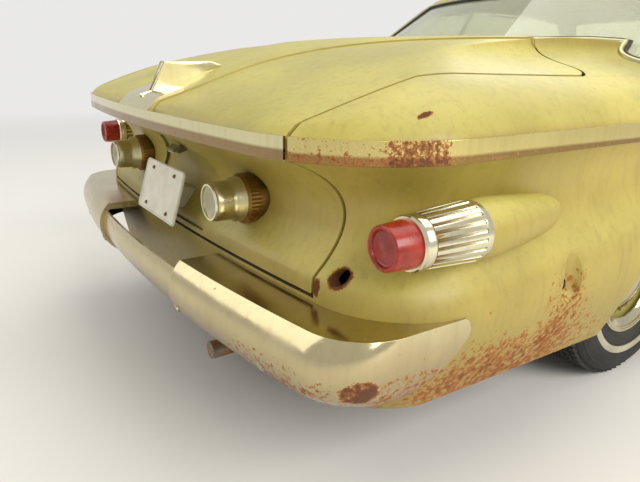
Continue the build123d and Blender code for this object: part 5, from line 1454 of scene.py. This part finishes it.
# %% Run the drip rails
RAIL_REAR_X, RAIL_FRONT_X, RAIL_STEPS = -0.96, 0.86, 33
for side_name, side in SIDES.items():
    tops = []
    for piece_name in ("quarter_windows", f"door_window_{side_name}"):
        for path in pane_outlines(piece_name, (-0.1, 0, 1.1), 0.0, 0.0):
            if path[0].y * side > 0:
                tops.extend(path)
    line = []
    for step in range(RAIL_STEPS + 1):
        x = RAIL_REAR_X + step * (RAIL_FRONT_X - RAIL_REAR_X) / RAIL_STEPS
        near = [point for point in tops if abs(point.x - x) < 0.09]
        if not near:
            continue
        high = max(point.z for point in near if abs(point.x - x) < 0.05 or len(near) < 3)
        try:
            place, facing = from_side("roof_skin", side, x, high + 0.017)
        except ValueError:
            continue
        line.append(place + facing * 0.004)
    inner = [(line[i - 1] + line[i] * 2 + line[i + 1]) / 4 for i in range(1, len(line) - 1)]
    rod(f"drip_rail_{side_name}", [line[0], *inner, line[-1]], 0.0065, chrome_dull, sides=3)
    print("drip rail", side_name, len(line), "points")

# %% [markdown]
# ## Handles, mirror, wipers and aerial
# Each door has a bright pull on two feet with a push button, and a key lock under it. The driver has
# a round mirror on the door. Two wipers lie on the glass, so their blades follow points found on it.

# %% Fit the door pulls, buttons and locks
PULL_X, PULL_Z = -0.270, 0.812
PULL = (
    (-0.092, 0.000), (-0.088, 0.016), (-0.072, 0.027), (-0.02, 0.031), (0.045, 0.029), (0.074, 0.020),
    (0.082, 0.000),
)  # fmt: skip
PULL_FOOT = ((-0.003, 0.0), (-0.003, 0.0155), (0.003, 0.0150), (0.006, 0.0115), (0.007, 0.0))
PUSH_BUTTON = ((-0.002, 0.0), (-0.002, 0.0125), (0.020, 0.0125), (0.024, 0.0105), (0.025, 0.0))
KEY_LOCK = (
    (-0.002, 0.0), (-0.002, 0.0135), (0.003, 0.0130), (0.005, 0.0100), (0.0045, 0.0080), (0.0060, 0.0070),
    (0.0060, 0.0),
)  # fmt: skip
DOOR_FITTINGS = {
    "pull_foot_rear": (PULL_FOOT, PULL_X - 0.090, PULL_Z),
    "pull_foot_front": (PULL_FOOT, PULL_X + 0.080, PULL_Z),
    "pull_button": (PUSH_BUTTON, -0.385, PULL_Z),
    "door_lock": (KEY_LOCK, -0.345, 0.752),
}
for side_name, side in SIDES.items():
    skin, body = f"door_skin_{side_name}", f"door_{side_name}"
    place, facing = from_side(skin, side, PULL_X, PULL_Z)
    grip = [place + Vector((along, 0, 0)) + facing * off for along, off in PULL]
    rod(f"door_pull_{side_name}", grip, 0.0085, chrome_clean, body)
    for name, (profile, x, z) in DOOR_FITTINGS.items():
        spot, way = from_side(skin, side, x, z)
        turned(f"{name}_{side_name}", profile, spot, way, chrome_clean, body, 32)
print("door fittings", len(DOOR_FITTINGS) + 1, "a side")

# %% Fit the mirror, the wipers and the aerial
MIRROR_FOOT = ((-0.004, 0.0), (-0.004, 0.022), (0.004, 0.020), (0.010, 0.010), (0.012, 0.0))
MIRROR_CUP = (
    (0.000, 0.0), (0.000, 0.0460), (-0.002, 0.0500), (0.004, 0.0520), (0.016, 0.0470), (0.028, 0.0300),
    (0.034, 0.0120), (0.035, 0.0),
)  # fmt: skip
WIPER_PIVOT = ((-0.004, 0.0), (-0.004, 0.015), (0.012, 0.012), (0.018, 0.006), (0.019, 0.0))
AERIAL_FOOT = ((-0.004, 0.0), (-0.004, 0.017), (0.006, 0.014), (0.016, 0.007), (0.030, 0.005), (0.031, 0.0))
base, up_way = from_above("door_skin_left", 0.600, 0.915)
turned("mirror_foot", MIRROR_FOOT, base, up_way, chrome_clean, "door_left", 40)
head_spot = base + Vector((-0.012, 0.010, 0.098))
stem = [base + up_way * 0.006, base + up_way * 0.035, head_spot + Vector((0.018, 0, -0.02))]
rod("mirror_stem", stem, 0.0058, chrome_clean, "door_left")
turned("mirror_cup", MIRROR_CUP, head_spot, (1, -0.12, 0), chrome_clean, "door_left")
for number, pivot_y in enumerate((0.33, -0.19)):
    blade = []
    for step in range(9):
        y = pivot_y - 0.03 - step * 0.046
        place, facing = from_above("windscreen", 0.972 - 0.18 * y * y, y)
        blade.append(place + facing * 0.008)
    rod(f"wiper_blade_{number}", blade, 0.0042, rubber, sides=3)
    holder = [point + Vector((0, 0, 0.006)) for point in blade[1:-1]]
    rod(f"wiper_holder_{number}", holder, 0.0026, chrome_dull, sides=3)
    foot, up_way = from_above("cowl_panel", 1.060, pivot_y)
    turned(f"wiper_pivot_{number}", WIPER_PIVOT, foot, up_way, chrome_dull, segments=32)
    elbow, tip = foot + Vector((-0.030, -0.07, 0.030)), blade[4] + Vector((0.002, 0, 0.010))
    rod(f"wiper_arm_{number}", [foot + up_way * 0.016, elbow, tip], 0.0036, chrome_dull, sides=3)
mast, _ = from_above("wing_right", 1.300, -0.840)
turned("aerial_foot", AERIAL_FOOT, mast, (0, 0, 1), chrome_dull, segments=32)
mast_path = [mast + Vector((x, 0, z)) for x, z in ((0, 0.02), (-0.03, 0.20), (-0.055, 0.35))]
rod("aerial_rod", mast_path, 0.0016, chrome_dull, sides=3)
print("wiper blades", len(blade), "points each")

# %% [markdown]
# ## The lid's ornament
# The fin stands on the spine's bright cap. Its rear edge widens upwards to a narrow white face in a
# bright frame, and a small tongue lies at its foot. It carries no badge.

# %% Face the ornament
fin_foot, _ = from_above("boot_lid_trim", -2.5580, 0)
fin_head = Vector((-2.5165, 0, 1.0175))
fin_out = Vector((-0.0020, 0, 0.0010))
fin_spread = Vector((0, 0.0125, 0))
fin_front = [fin_foot, fin_head + fin_spread, fin_head - fin_spread]
fin_points = [corner + fin_out * 1.5 for corner in fin_front] + [corner - fin_out for corner in fin_front]
fin_faces = [(0, 1, 2), (3, 5, 4), (0, 3, 4, 1), (1, 4, 5, 2), (2, 5, 3, 0)]
link_piece("ornament_face", closed_mesh("ornament_face", fin_points, fin_faces), "trunk_lid", ivory_plastic)
fin_frame = [corner + fin_out * 1.8 for corner in fin_front]
rod("ornament_frame", fin_frame, 0.0024, chrome_clean, "trunk_lid", closed=True)
tongue, _ = from_above("boot_lid_trim", -2.576, 0)
tongue_place = (tongue, (0.040, 0.015, 0.010), Matrix.Rotation(-0.25, 3, "Y"))
blocks("ornament_tongue", (tongue_place,), chrome_clean, 0.004, "trunk_lid")
print("ornament foot", [round(v, 3) for v in fin_foot])

# %% [markdown]
# ## Carpets and covers
# A carpet or a cover is a grid of points with a thickness. The cabin's carpet climbs over the tunnel,
# which rises towards the fire wall, and a cloth cover lies on the shelf under the rear window.

# %% Lay the carpets and covers
def spread_cover(name, rows, depth, finish):
    """A cover over a grid of points, closed by its own copy a depth below."""
    wide, long = len(rows[0]), len(rows)
    top = [Vector(point) for row in rows for point in row]
    points = top + [point - Vector((0, 0, depth)) for point in top]
    faces = []
    for i in range(long - 1):
        for j in range(wide - 1):
            corners = (i * wide + j, i * wide + j + 1, (i + 1) * wide + j + 1, (i + 1) * wide + j)
            faces += [corners, tuple(index + len(top) for index in reversed(corners))]
    rim = list(range(wide)) + [i * wide + wide - 1 for i in range(1, long)]
    rim += [(long - 1) * wide + j for j in range(wide - 2, -1, -1)]
    rim += [i * wide for i in range(long - 2, 0, -1)]
    for now, after in zip(rim, rim[1:] + rim[:1]):
        faces.append((now, now + len(top), after + len(top), after))
    return link_piece(name, closed_mesh(name, points, faces, 50), CAR, finish)


TUNNEL_TOPS = ((-0.94, 0.466), (0.50, 0.466), (0.80, 0.526), (1.085, 0.565))
TUNNEL_HALF = 0.17
FLOOR_TOP = 0.308
CARPET_SPREAD = (-0.74, -0.46, -0.172, -0.166, 0.166, 0.172, 0.46, 0.74)
carpet_rows = []
for x, tunnel_z in TUNNEL_TOPS:
    carpet_rows.append([(x, y, tunnel_z if abs(y) < TUNNEL_HALF else FLOOR_TOP) for y in CARPET_SPREAD])
spread_cover("cabin_carpet", carpet_rows, 0.007, carpet_pile)
shelf_rows = [[(x, y, 0.950) for y in (-0.66, -0.3, 0.3, 0.66)] for x in (-1.53, -1.30, -1.065)]
spread_cover("shelf_cover", shelf_rows, 0.008, headlining_cloth)
blocks("shelf_speaker", (((-1.30, 0, 0.953), (0.15, 0.34, 0.008)),), vinyl_dark, 0.003)
ring("speaker_slots", 22, 0.045, (0.040, 0.003, 0.003), (-1.30, 0, 0.9575), (0, 0, 1), chrome_dull)
print("carpet rows", len(carpet_rows))

# %% [markdown]
# ## The dashboard
# The face of the dash leans, so everything on it is placed along it: two dials in front of the driver,
# a clock, a radio with two knobs, and the lid of the glove box. Dials have plain marks and no words.

# %% Fit the dashboard
DASH_LEAN = math.radians(17.5)
DASH_FACE = Vector((0.745, 0, 0.9075))
DIAL = ((-0.004, 0.0), (-0.004, 0.038), (0.0025, 0.038), (0.0025, 0.0))
DIAL_RIM = (
    (-0.004, 0.030), (-0.004, 0.042), (0.006, 0.043), (0.010, 0.041), (0.006, 0.037), (0.002, 0.036),
    (-0.004, 0.030),
)  # fmt: skip
KNOB = ((-0.002, 0.0), (-0.002, 0.012), (0.010, 0.0115), (0.016, 0.009), (0.017, 0.0))
KNOB_PLACES = ((-0.035, 0), (0.145, 0), (-0.310, 0.0), (0.575, 0.02), (0.575, -0.02))
dash_out = Vector((-math.cos(DASH_LEAN), 0, -math.sin(DASH_LEAN)))
dash_up = Vector((-math.sin(DASH_LEAN), 0, math.cos(DASH_LEAN)))
dash_turn = Matrix.Rotation(-DASH_LEAN, 3, "Y")


def on_dash(y, rise=0.0, out=0.0):
    """A place on the leaning face of the dash."""
    return DASH_FACE + Vector((0, y, 0)) + dash_up * rise + dash_out * out


for name, y in (("speed", 0.465), ("charge", 0.300), ("clock", -0.190)):
    turned(f"dial_face_{name}", DIAL, on_dash(y), dash_out, white_dial)
    turned(f"dial_rim_{name}", DIAL_RIM, on_dash(y), dash_out, chrome_clean)
    marks_place = on_dash(y, 0, 0.0030)
    ring(f"dial_marks_{name}", 24, 0.030, (0.006, 0.0011, 0.001), marks_place, dash_out, rubber)
    needle = [on_dash(y, 0, 0.005), on_dash(y + 0.014, 0.019, 0.005)]
    rod(f"dial_needle_{name}", needle, 0.0011, red_lens, sides=2)
glove_place = (on_dash(-0.50, 0, 0.002), (0.008, 0.36, 0.074), dash_turn)
blocks("glove_box_lid", (glove_place,), dash_enamel, 0.003)
radio_places = (
    (on_dash(0.055, 0, 0.002), (0.010, 0.230, 0.060), dash_turn),
    (on_dash(0.055, 0.008, 0.007), (0.006, 0.12, 0.018), dash_turn),
)
blocks("radio_face", radio_places, chrome_dull)
for number, (y, rise) in enumerate(KNOB_PLACES):
    turned(f"dash_knob_{number}", KNOB, on_dash(y, rise, 0.006), dash_out, ivory_plastic, segments=24)
for number, rise in enumerate((-0.043, 0.044)):
    rod(f"dash_strip_{number}", [on_dash(y, rise, 0.001) for y in (-0.80, 0.80)], 0.0035, chrome_clean)
print("dash knobs", len(KNOB_PLACES))

# %% [markdown]
# ## Controls and cabin fittings
# The horn ring turns with the steering wheel. Levers stand out of the column, pedals hang from the
# fire wall, and a mirror and two padded visors hang from the roof.

# %% Fit the horn ring and the levers
COLUMN_SLOPE = math.radians(27)
WHEEL_CENTRE = Vector((0.470, 0.380, 0.905))
HORN_RADIUS = 0.128
HORN_CAP = ((-0.002, 0.0), (-0.002, 0.040), (0.008, 0.038), (0.018, 0.026), (0.022, 0.010), (0.023, 0.0))
LEVER_KNOB = ((-0.006, 0.0), (-0.004, 0.008), (0.004, 0.011), (0.012, 0.008), (0.015, 0.0))
wheel_axis = Vector((math.cos(COLUMN_SLOPE), 0, -math.sin(COLUMN_SLOPE)))
wheel_up = Vector((math.sin(COLUMN_SLOPE), 0, math.cos(COLUMN_SLOPE)))
horn_middle = WHEEL_CENTRE - wheel_axis * 0.022
horn_path = []
for step in range(48):
    angle = 2 * math.pi * step / 48
    out = Vector((0, math.cos(angle), 0)) + wheel_up * math.sin(angle)
    horn_path.append(horn_middle + out * HORN_RADIUS)
rod("horn_ring", horn_path, 0.0042, chrome_clean, "steering_wheel", closed=True)
rod("horn_arms", [horn_path[0], horn_middle, horn_path[24]], 0.0036, chrome_clean, "steering_wheel")
cap_foot = horn_middle + wheel_axis * 0.004
turned("horn_cap", HORN_CAP, cap_foot, -wheel_axis, ivory_plastic, "steering_wheel")
for name, along, reach in (("signal", 0.095, 0.135), ("shift", 0.150, -0.190)):
    root = WHEEL_CENTRE + wheel_axis * along
    tip = root + Vector((-0.02, reach, 0.03))
    rod(f"{name}_lever", [root, root + Vector((0, reach * 0.5, 0.008)), tip], 0.0042, chrome_dull)
    turned(f"{name}_knob", LEVER_KNOB, tip, (0, reach, 0.02), ivory_plastic, segments=24)
print("horn ring", len(horn_path), "points")

# %% Hang the pedals, the mirror and the visors
pedal_lean = Matrix.Rotation(math.radians(38), 3, "Y")
visor_lean = Matrix.Rotation(0.16, 3, "Y")
PEDALS = (
    ((0.960, 0.470, 0.430), (0.014, 0.085, 0.060), pedal_lean),
    ((0.955, 0.325, 0.430), (0.014, 0.110, 0.060), pedal_lean),
    ((0.985, 0.215, 0.390), (0.012, 0.050, 0.150), pedal_lean),
)
blocks("pedal_pads", PEDALS, rubber, 0.004)
for number, (centre, _, _) in enumerate(PEDALS[:2]):
    y, z = centre[1:]
    arm_path = [(0.965, y, z), (1.000, y, z + 0.10), (1.085, y, z + 0.24)]
    rod(f"pedal_arm_{number}", arm_path, 0.007, cast_iron, sides=3)
rod("mirror_arm", [(0.385, 0, 1.290), (0.370, 0, 1.340)], 0.005, chrome_dull)
blocks("cabin_mirror_case", (((0.400, 0, 1.280), (0.016, 0.215, 0.052)),), vinyl_dark, 0.006)
blocks("cabin_mirror_glass", (((0.3915, 0, 1.280), (0.002, 0.200, 0.040)),), chrome_clean, 0.0006)
for side_name, side in SIDES.items():
    visor_place = ((0.270, side * 0.35, 1.326), (0.145, 0.420, 0.018), visor_lean)
    blocks(f"sun_visor_{side_name}", (visor_place,), headlining_cloth, 0.007)
print("pedals", len(PEDALS))

# %% [markdown]
# ## Door trims
# Each door carries a vinyl card, a padded armrest, a window crank, a pull lever and a bright strip.
# Their places are measured off the flat inner face, and all of them swing with the door.

# %% Trim the doors
DOOR_FACE = 0.849
HANDLE_FOOT = ((-0.006, 0.0), (-0.006, 0.021), (0.006, 0.019), (0.014, 0.011), (0.015, 0.0))
CRANK_KNOB = ((0.0, 0.0), (0.0, 0.011), (0.020, 0.012), (0.026, 0.008), (0.027, 0.0))
CRANK_TIP = (0.46, 0.545)
HANDLES = {"crank": ((0.52, 0.60), CRANK_TIP), "opener": ((0.42, 0.72), (0.34, 0.715))}


def at_door(side, x, z, off):
    """A place off the inner face of a door."""
    return Vector((x, side * (DOOR_FACE - off), z))


for side_name, side in SIDES.items():
    body, inwards = f"door_{side_name}", (0, -side, 0)
    card_place = (at_door(side, 0.20, 0.56, 0.001), (1.06, 0.010, 0.36))
    blocks(f"door_card_{side_name}", (card_place,), vinyl, 0.004, body)
    rest_place = (at_door(side, 0.12, 0.66, 0.026), (0.34, 0.052, 0.048))
    blocks(f"armrest_{side_name}", (rest_place,), vinyl_dark, 0.018, body, 4)
    strip = [at_door(side, x, 0.800, 0.003) for x in (-0.34, 0.78)]
    rod(f"door_trim_strip_{side_name}", strip, 0.0042, chrome_clean, body)
    for name, ((x, z), (tip_x, tip_z)) in HANDLES.items():
        foot = at_door(side, x, z, 0.002)
        turned(f"{name}_foot_{side_name}", HANDLE_FOOT, foot, inwards, chrome_clean, body, 32)
        middle = at_door(side, (x + tip_x) / 2, (z + tip_z) / 2, 0.022)
        arm_path = [at_door(side, x, z, 0.014), middle, at_door(side, tip_x, tip_z, 0.022)]
        rod(f"{name}_arm_{side_name}", arm_path, 0.0055, chrome_clean, body)
    knob_foot = at_door(side, *CRANK_TIP, 0.020)
    turned(f"crank_knob_{side_name}", CRANK_KNOB, knob_foot, inwards, ivory_plastic, body, 24)
print("doors trimmed", len(SIDES))

# %% [markdown]
# ## Under the bonnet
# An old vee engine: a round air cleaner on a neck, two ribbed rocker covers with bolts, a fan with its
# belt, a hose to the radiator, and a battery on a tray at the radiator's frame.

# %% Dress the engine
AIR_CLEANER = (
    (-0.055, 0.0), (-0.055, 0.060), (-0.002, 0.060), (0.000, 0.165), (0.006, 0.172), (0.030, 0.172),
    (0.036, 0.178), (0.042, 0.172), (0.050, 0.120), (0.052, 0.020), (0.060, 0.012), (0.060, 0.0),
)  # fmt: skip
FAN_HUB = (
    (-0.150, 0.0), (-0.150, 0.030), (-0.120, 0.030), (-0.118, 0.062), (-0.112, 0.056), (-0.106, 0.062),
    (-0.104, 0.030), (-0.010, 0.030), (-0.008, 0.050), (0.008, 0.050), (0.010, 0.018), (0.020, 0.0),
)  # fmt: skip
CRANK_PULLEY = (
    (-0.050, 0.0), (-0.050, 0.030), (0.000, 0.030), (0.001, 0.080), (0.007, 0.073), (0.013, 0.080),
    (0.014, 0.030), (0.020, 0.0),
)  # fmt: skip
FAN_CENTRE = (2.085, 0, 0.620)
CRANK_CENTRE = (1.966, 0, 0.420)
turned("air_cleaner", AIR_CLEANER, (1.50, 0, 0.916), (0, 0, 1), cast_iron, segments=72)
for side_name, side in SIDES.items():
    turn = Matrix.Rotation(-side * 0.35, 3, "X")
    middle = Vector((1.52, side * 0.205, 0.884))
    flange = middle - Vector((0, 0, 0.022))
    cover_places = ((middle, (0.56, 0.120, 0.052), turn), (flange, (0.59, 0.150, 0.012), turn))
    blocks(f"rocker_cover_{side_name}", cover_places, engine_enamel, 0.010, segments=4)
    upright = turn @ Vector((0, 0, 1))
    holes = [Vector((x, y, -0.014)) for x in (-0.27, -0.09, 0.09, 0.27) for y in (-0.066, 0.066)]
    bolts = [(middle + turn @ hole, upright) for hole in holes]
    fasteners(f"rocker_bolts_{side_name}", bolts, 0.006, 0.005, old_steel)
ring("fan_blades", 5, 0.115, (0.150, 0.070, 0.004), FAN_CENTRE, FORWARD, old_steel, twist=0.42)
turned("fan_hub", FAN_HUB, FAN_CENTRE, FORWARD, cast_iron)
turned("crank_pulley", CRANK_PULLEY, CRANK_CENTRE, FORWARD, cast_iron)
belt = []
for middle_z, radius, first in ((FAN_CENTRE[2], 0.061, 0), (CRANK_CENTRE[2], 0.078, 180)):
    for step in range(13):
        angle = math.radians(first + step * 15)
        belt.append((1.973, radius * math.cos(angle), middle_z + radius * math.sin(angle)))
rod("fan_belt", belt, 0.0055, rubber, closed=True, sides=3)
print("rocker bolts", len(bolts), "a side")

# %% Fit the hose, the radiator's cap and the battery
TOP_HOSE = (
    (1.900, 0.10, 0.860), (1.955, 0.10, 0.895), (2.080, 0.14, 0.900), (2.200, 0.18, 0.860),
    (2.250, 0.19, 0.835),
)  # fmt: skip
RADIATOR_CAP = (
    (-0.010, 0.0), (-0.010, 0.020), (0.010, 0.020), (0.011, 0.030), (0.018, 0.031), (0.024, 0.020),
    (0.026, 0.0),
)  # fmt: skip
BATTERY_Y = -0.52
rod("top_hose", TOP_HOSE, 0.024, rubber)
turned("radiator_cap", RADIATOR_CAP, (2.270, 0, 0.872), (0, 0, 1), chrome_dull, segments=40)
tray_places = (
    ((2.150, BATTERY_Y, 0.592), (0.190, 0.290, 0.012)),
    ((2.236, BATTERY_Y, 0.640), (0.010, 0.290, 0.100)),
)
blocks("battery_tray", tray_places, old_steel, 0.003)
blocks("battery_case", (((2.145, BATTERY_Y, 0.688), (0.165, 0.250, 0.180)),), rubber, 0.008)
caps = [((2.145, BATTERY_Y - 0.10 + 0.04 * i, 0.779), (0, 0, 1)) for i in range(6)]
fasteners("battery_caps", caps, 0.013, 0.012, ivory_plastic, CAR, 16, 1.2)
for number, y in enumerate((-0.435, -0.605)):
    lead = [(2.090, y, 0.782), (2.070, y, 0.810), (1.990, y * 0.8, 0.740), (1.860, -0.272, 0.620)]
    rod(f"battery_lead_{number}", lead, 0.006, rubber, sides=3)
print("battery caps", len(caps))

# %% [markdown]
# ## Under the floor
# What shows from below or past a wheel: clips over the springs, dampers, straps round the tank, and
# the bolts of the axle's round cover.

# %% Dress the underside
DAMPER = ((0.0, 0.0), (0.0, 0.024), (0.150, 0.024), (0.152, 0.029), (0.280, 0.029), (0.282, 0.0))
AXLE_X = HUBS["rear"][0]
COVER_BOLTS, COVER_RADIUS = 10, 0.092
for side_name, side in SIDES.items():
    clips = []
    for dx in (-0.055, 0.055):
        for dy in (-0.036, 0.036):
            clips.append(((AXLE_X + dx, side * (0.545 + dy), 0.330), (0.013, 0.013, 0.150)))
    clips.append(((AXLE_X, side * 0.545, 0.257), (0.150, 0.095, 0.010)))
    blocks(f"spring_clips_{side_name}", clips, old_steel, 0.003)
    low, high = Vector((-1.290, side * 0.455, 0.300)), Vector((-1.430, side * 0.400, 0.560))
    turned(f"damper_{side_name}", DAMPER, low, high - low, cast_iron, segments=32)
    strap_places = (
        ((-2.070, side * 0.22, 0.3325), (0.560, 0.040, 0.004)),
        ((-2.3425, side * 0.22, 0.42), (0.004, 0.040, 0.170)),
    )
    blocks(f"tank_strap_{side_name}", strap_places, old_steel, 0.001)
cover_bolts = []
for step in range(COVER_BOLTS):
    angle = 2 * math.pi * step / COVER_BOLTS
    across, rise = COVER_RADIUS * math.cos(angle), COVER_RADIUS * math.sin(angle)
    cover_bolts.append(((-1.318, across, HUB_Z + rise), (-1, 0, 0)))
fasteners("axle_cover_bolts", cover_bolts, 0.008, 0.008, old_steel)
print("axle cover bolts", len(cover_bolts))
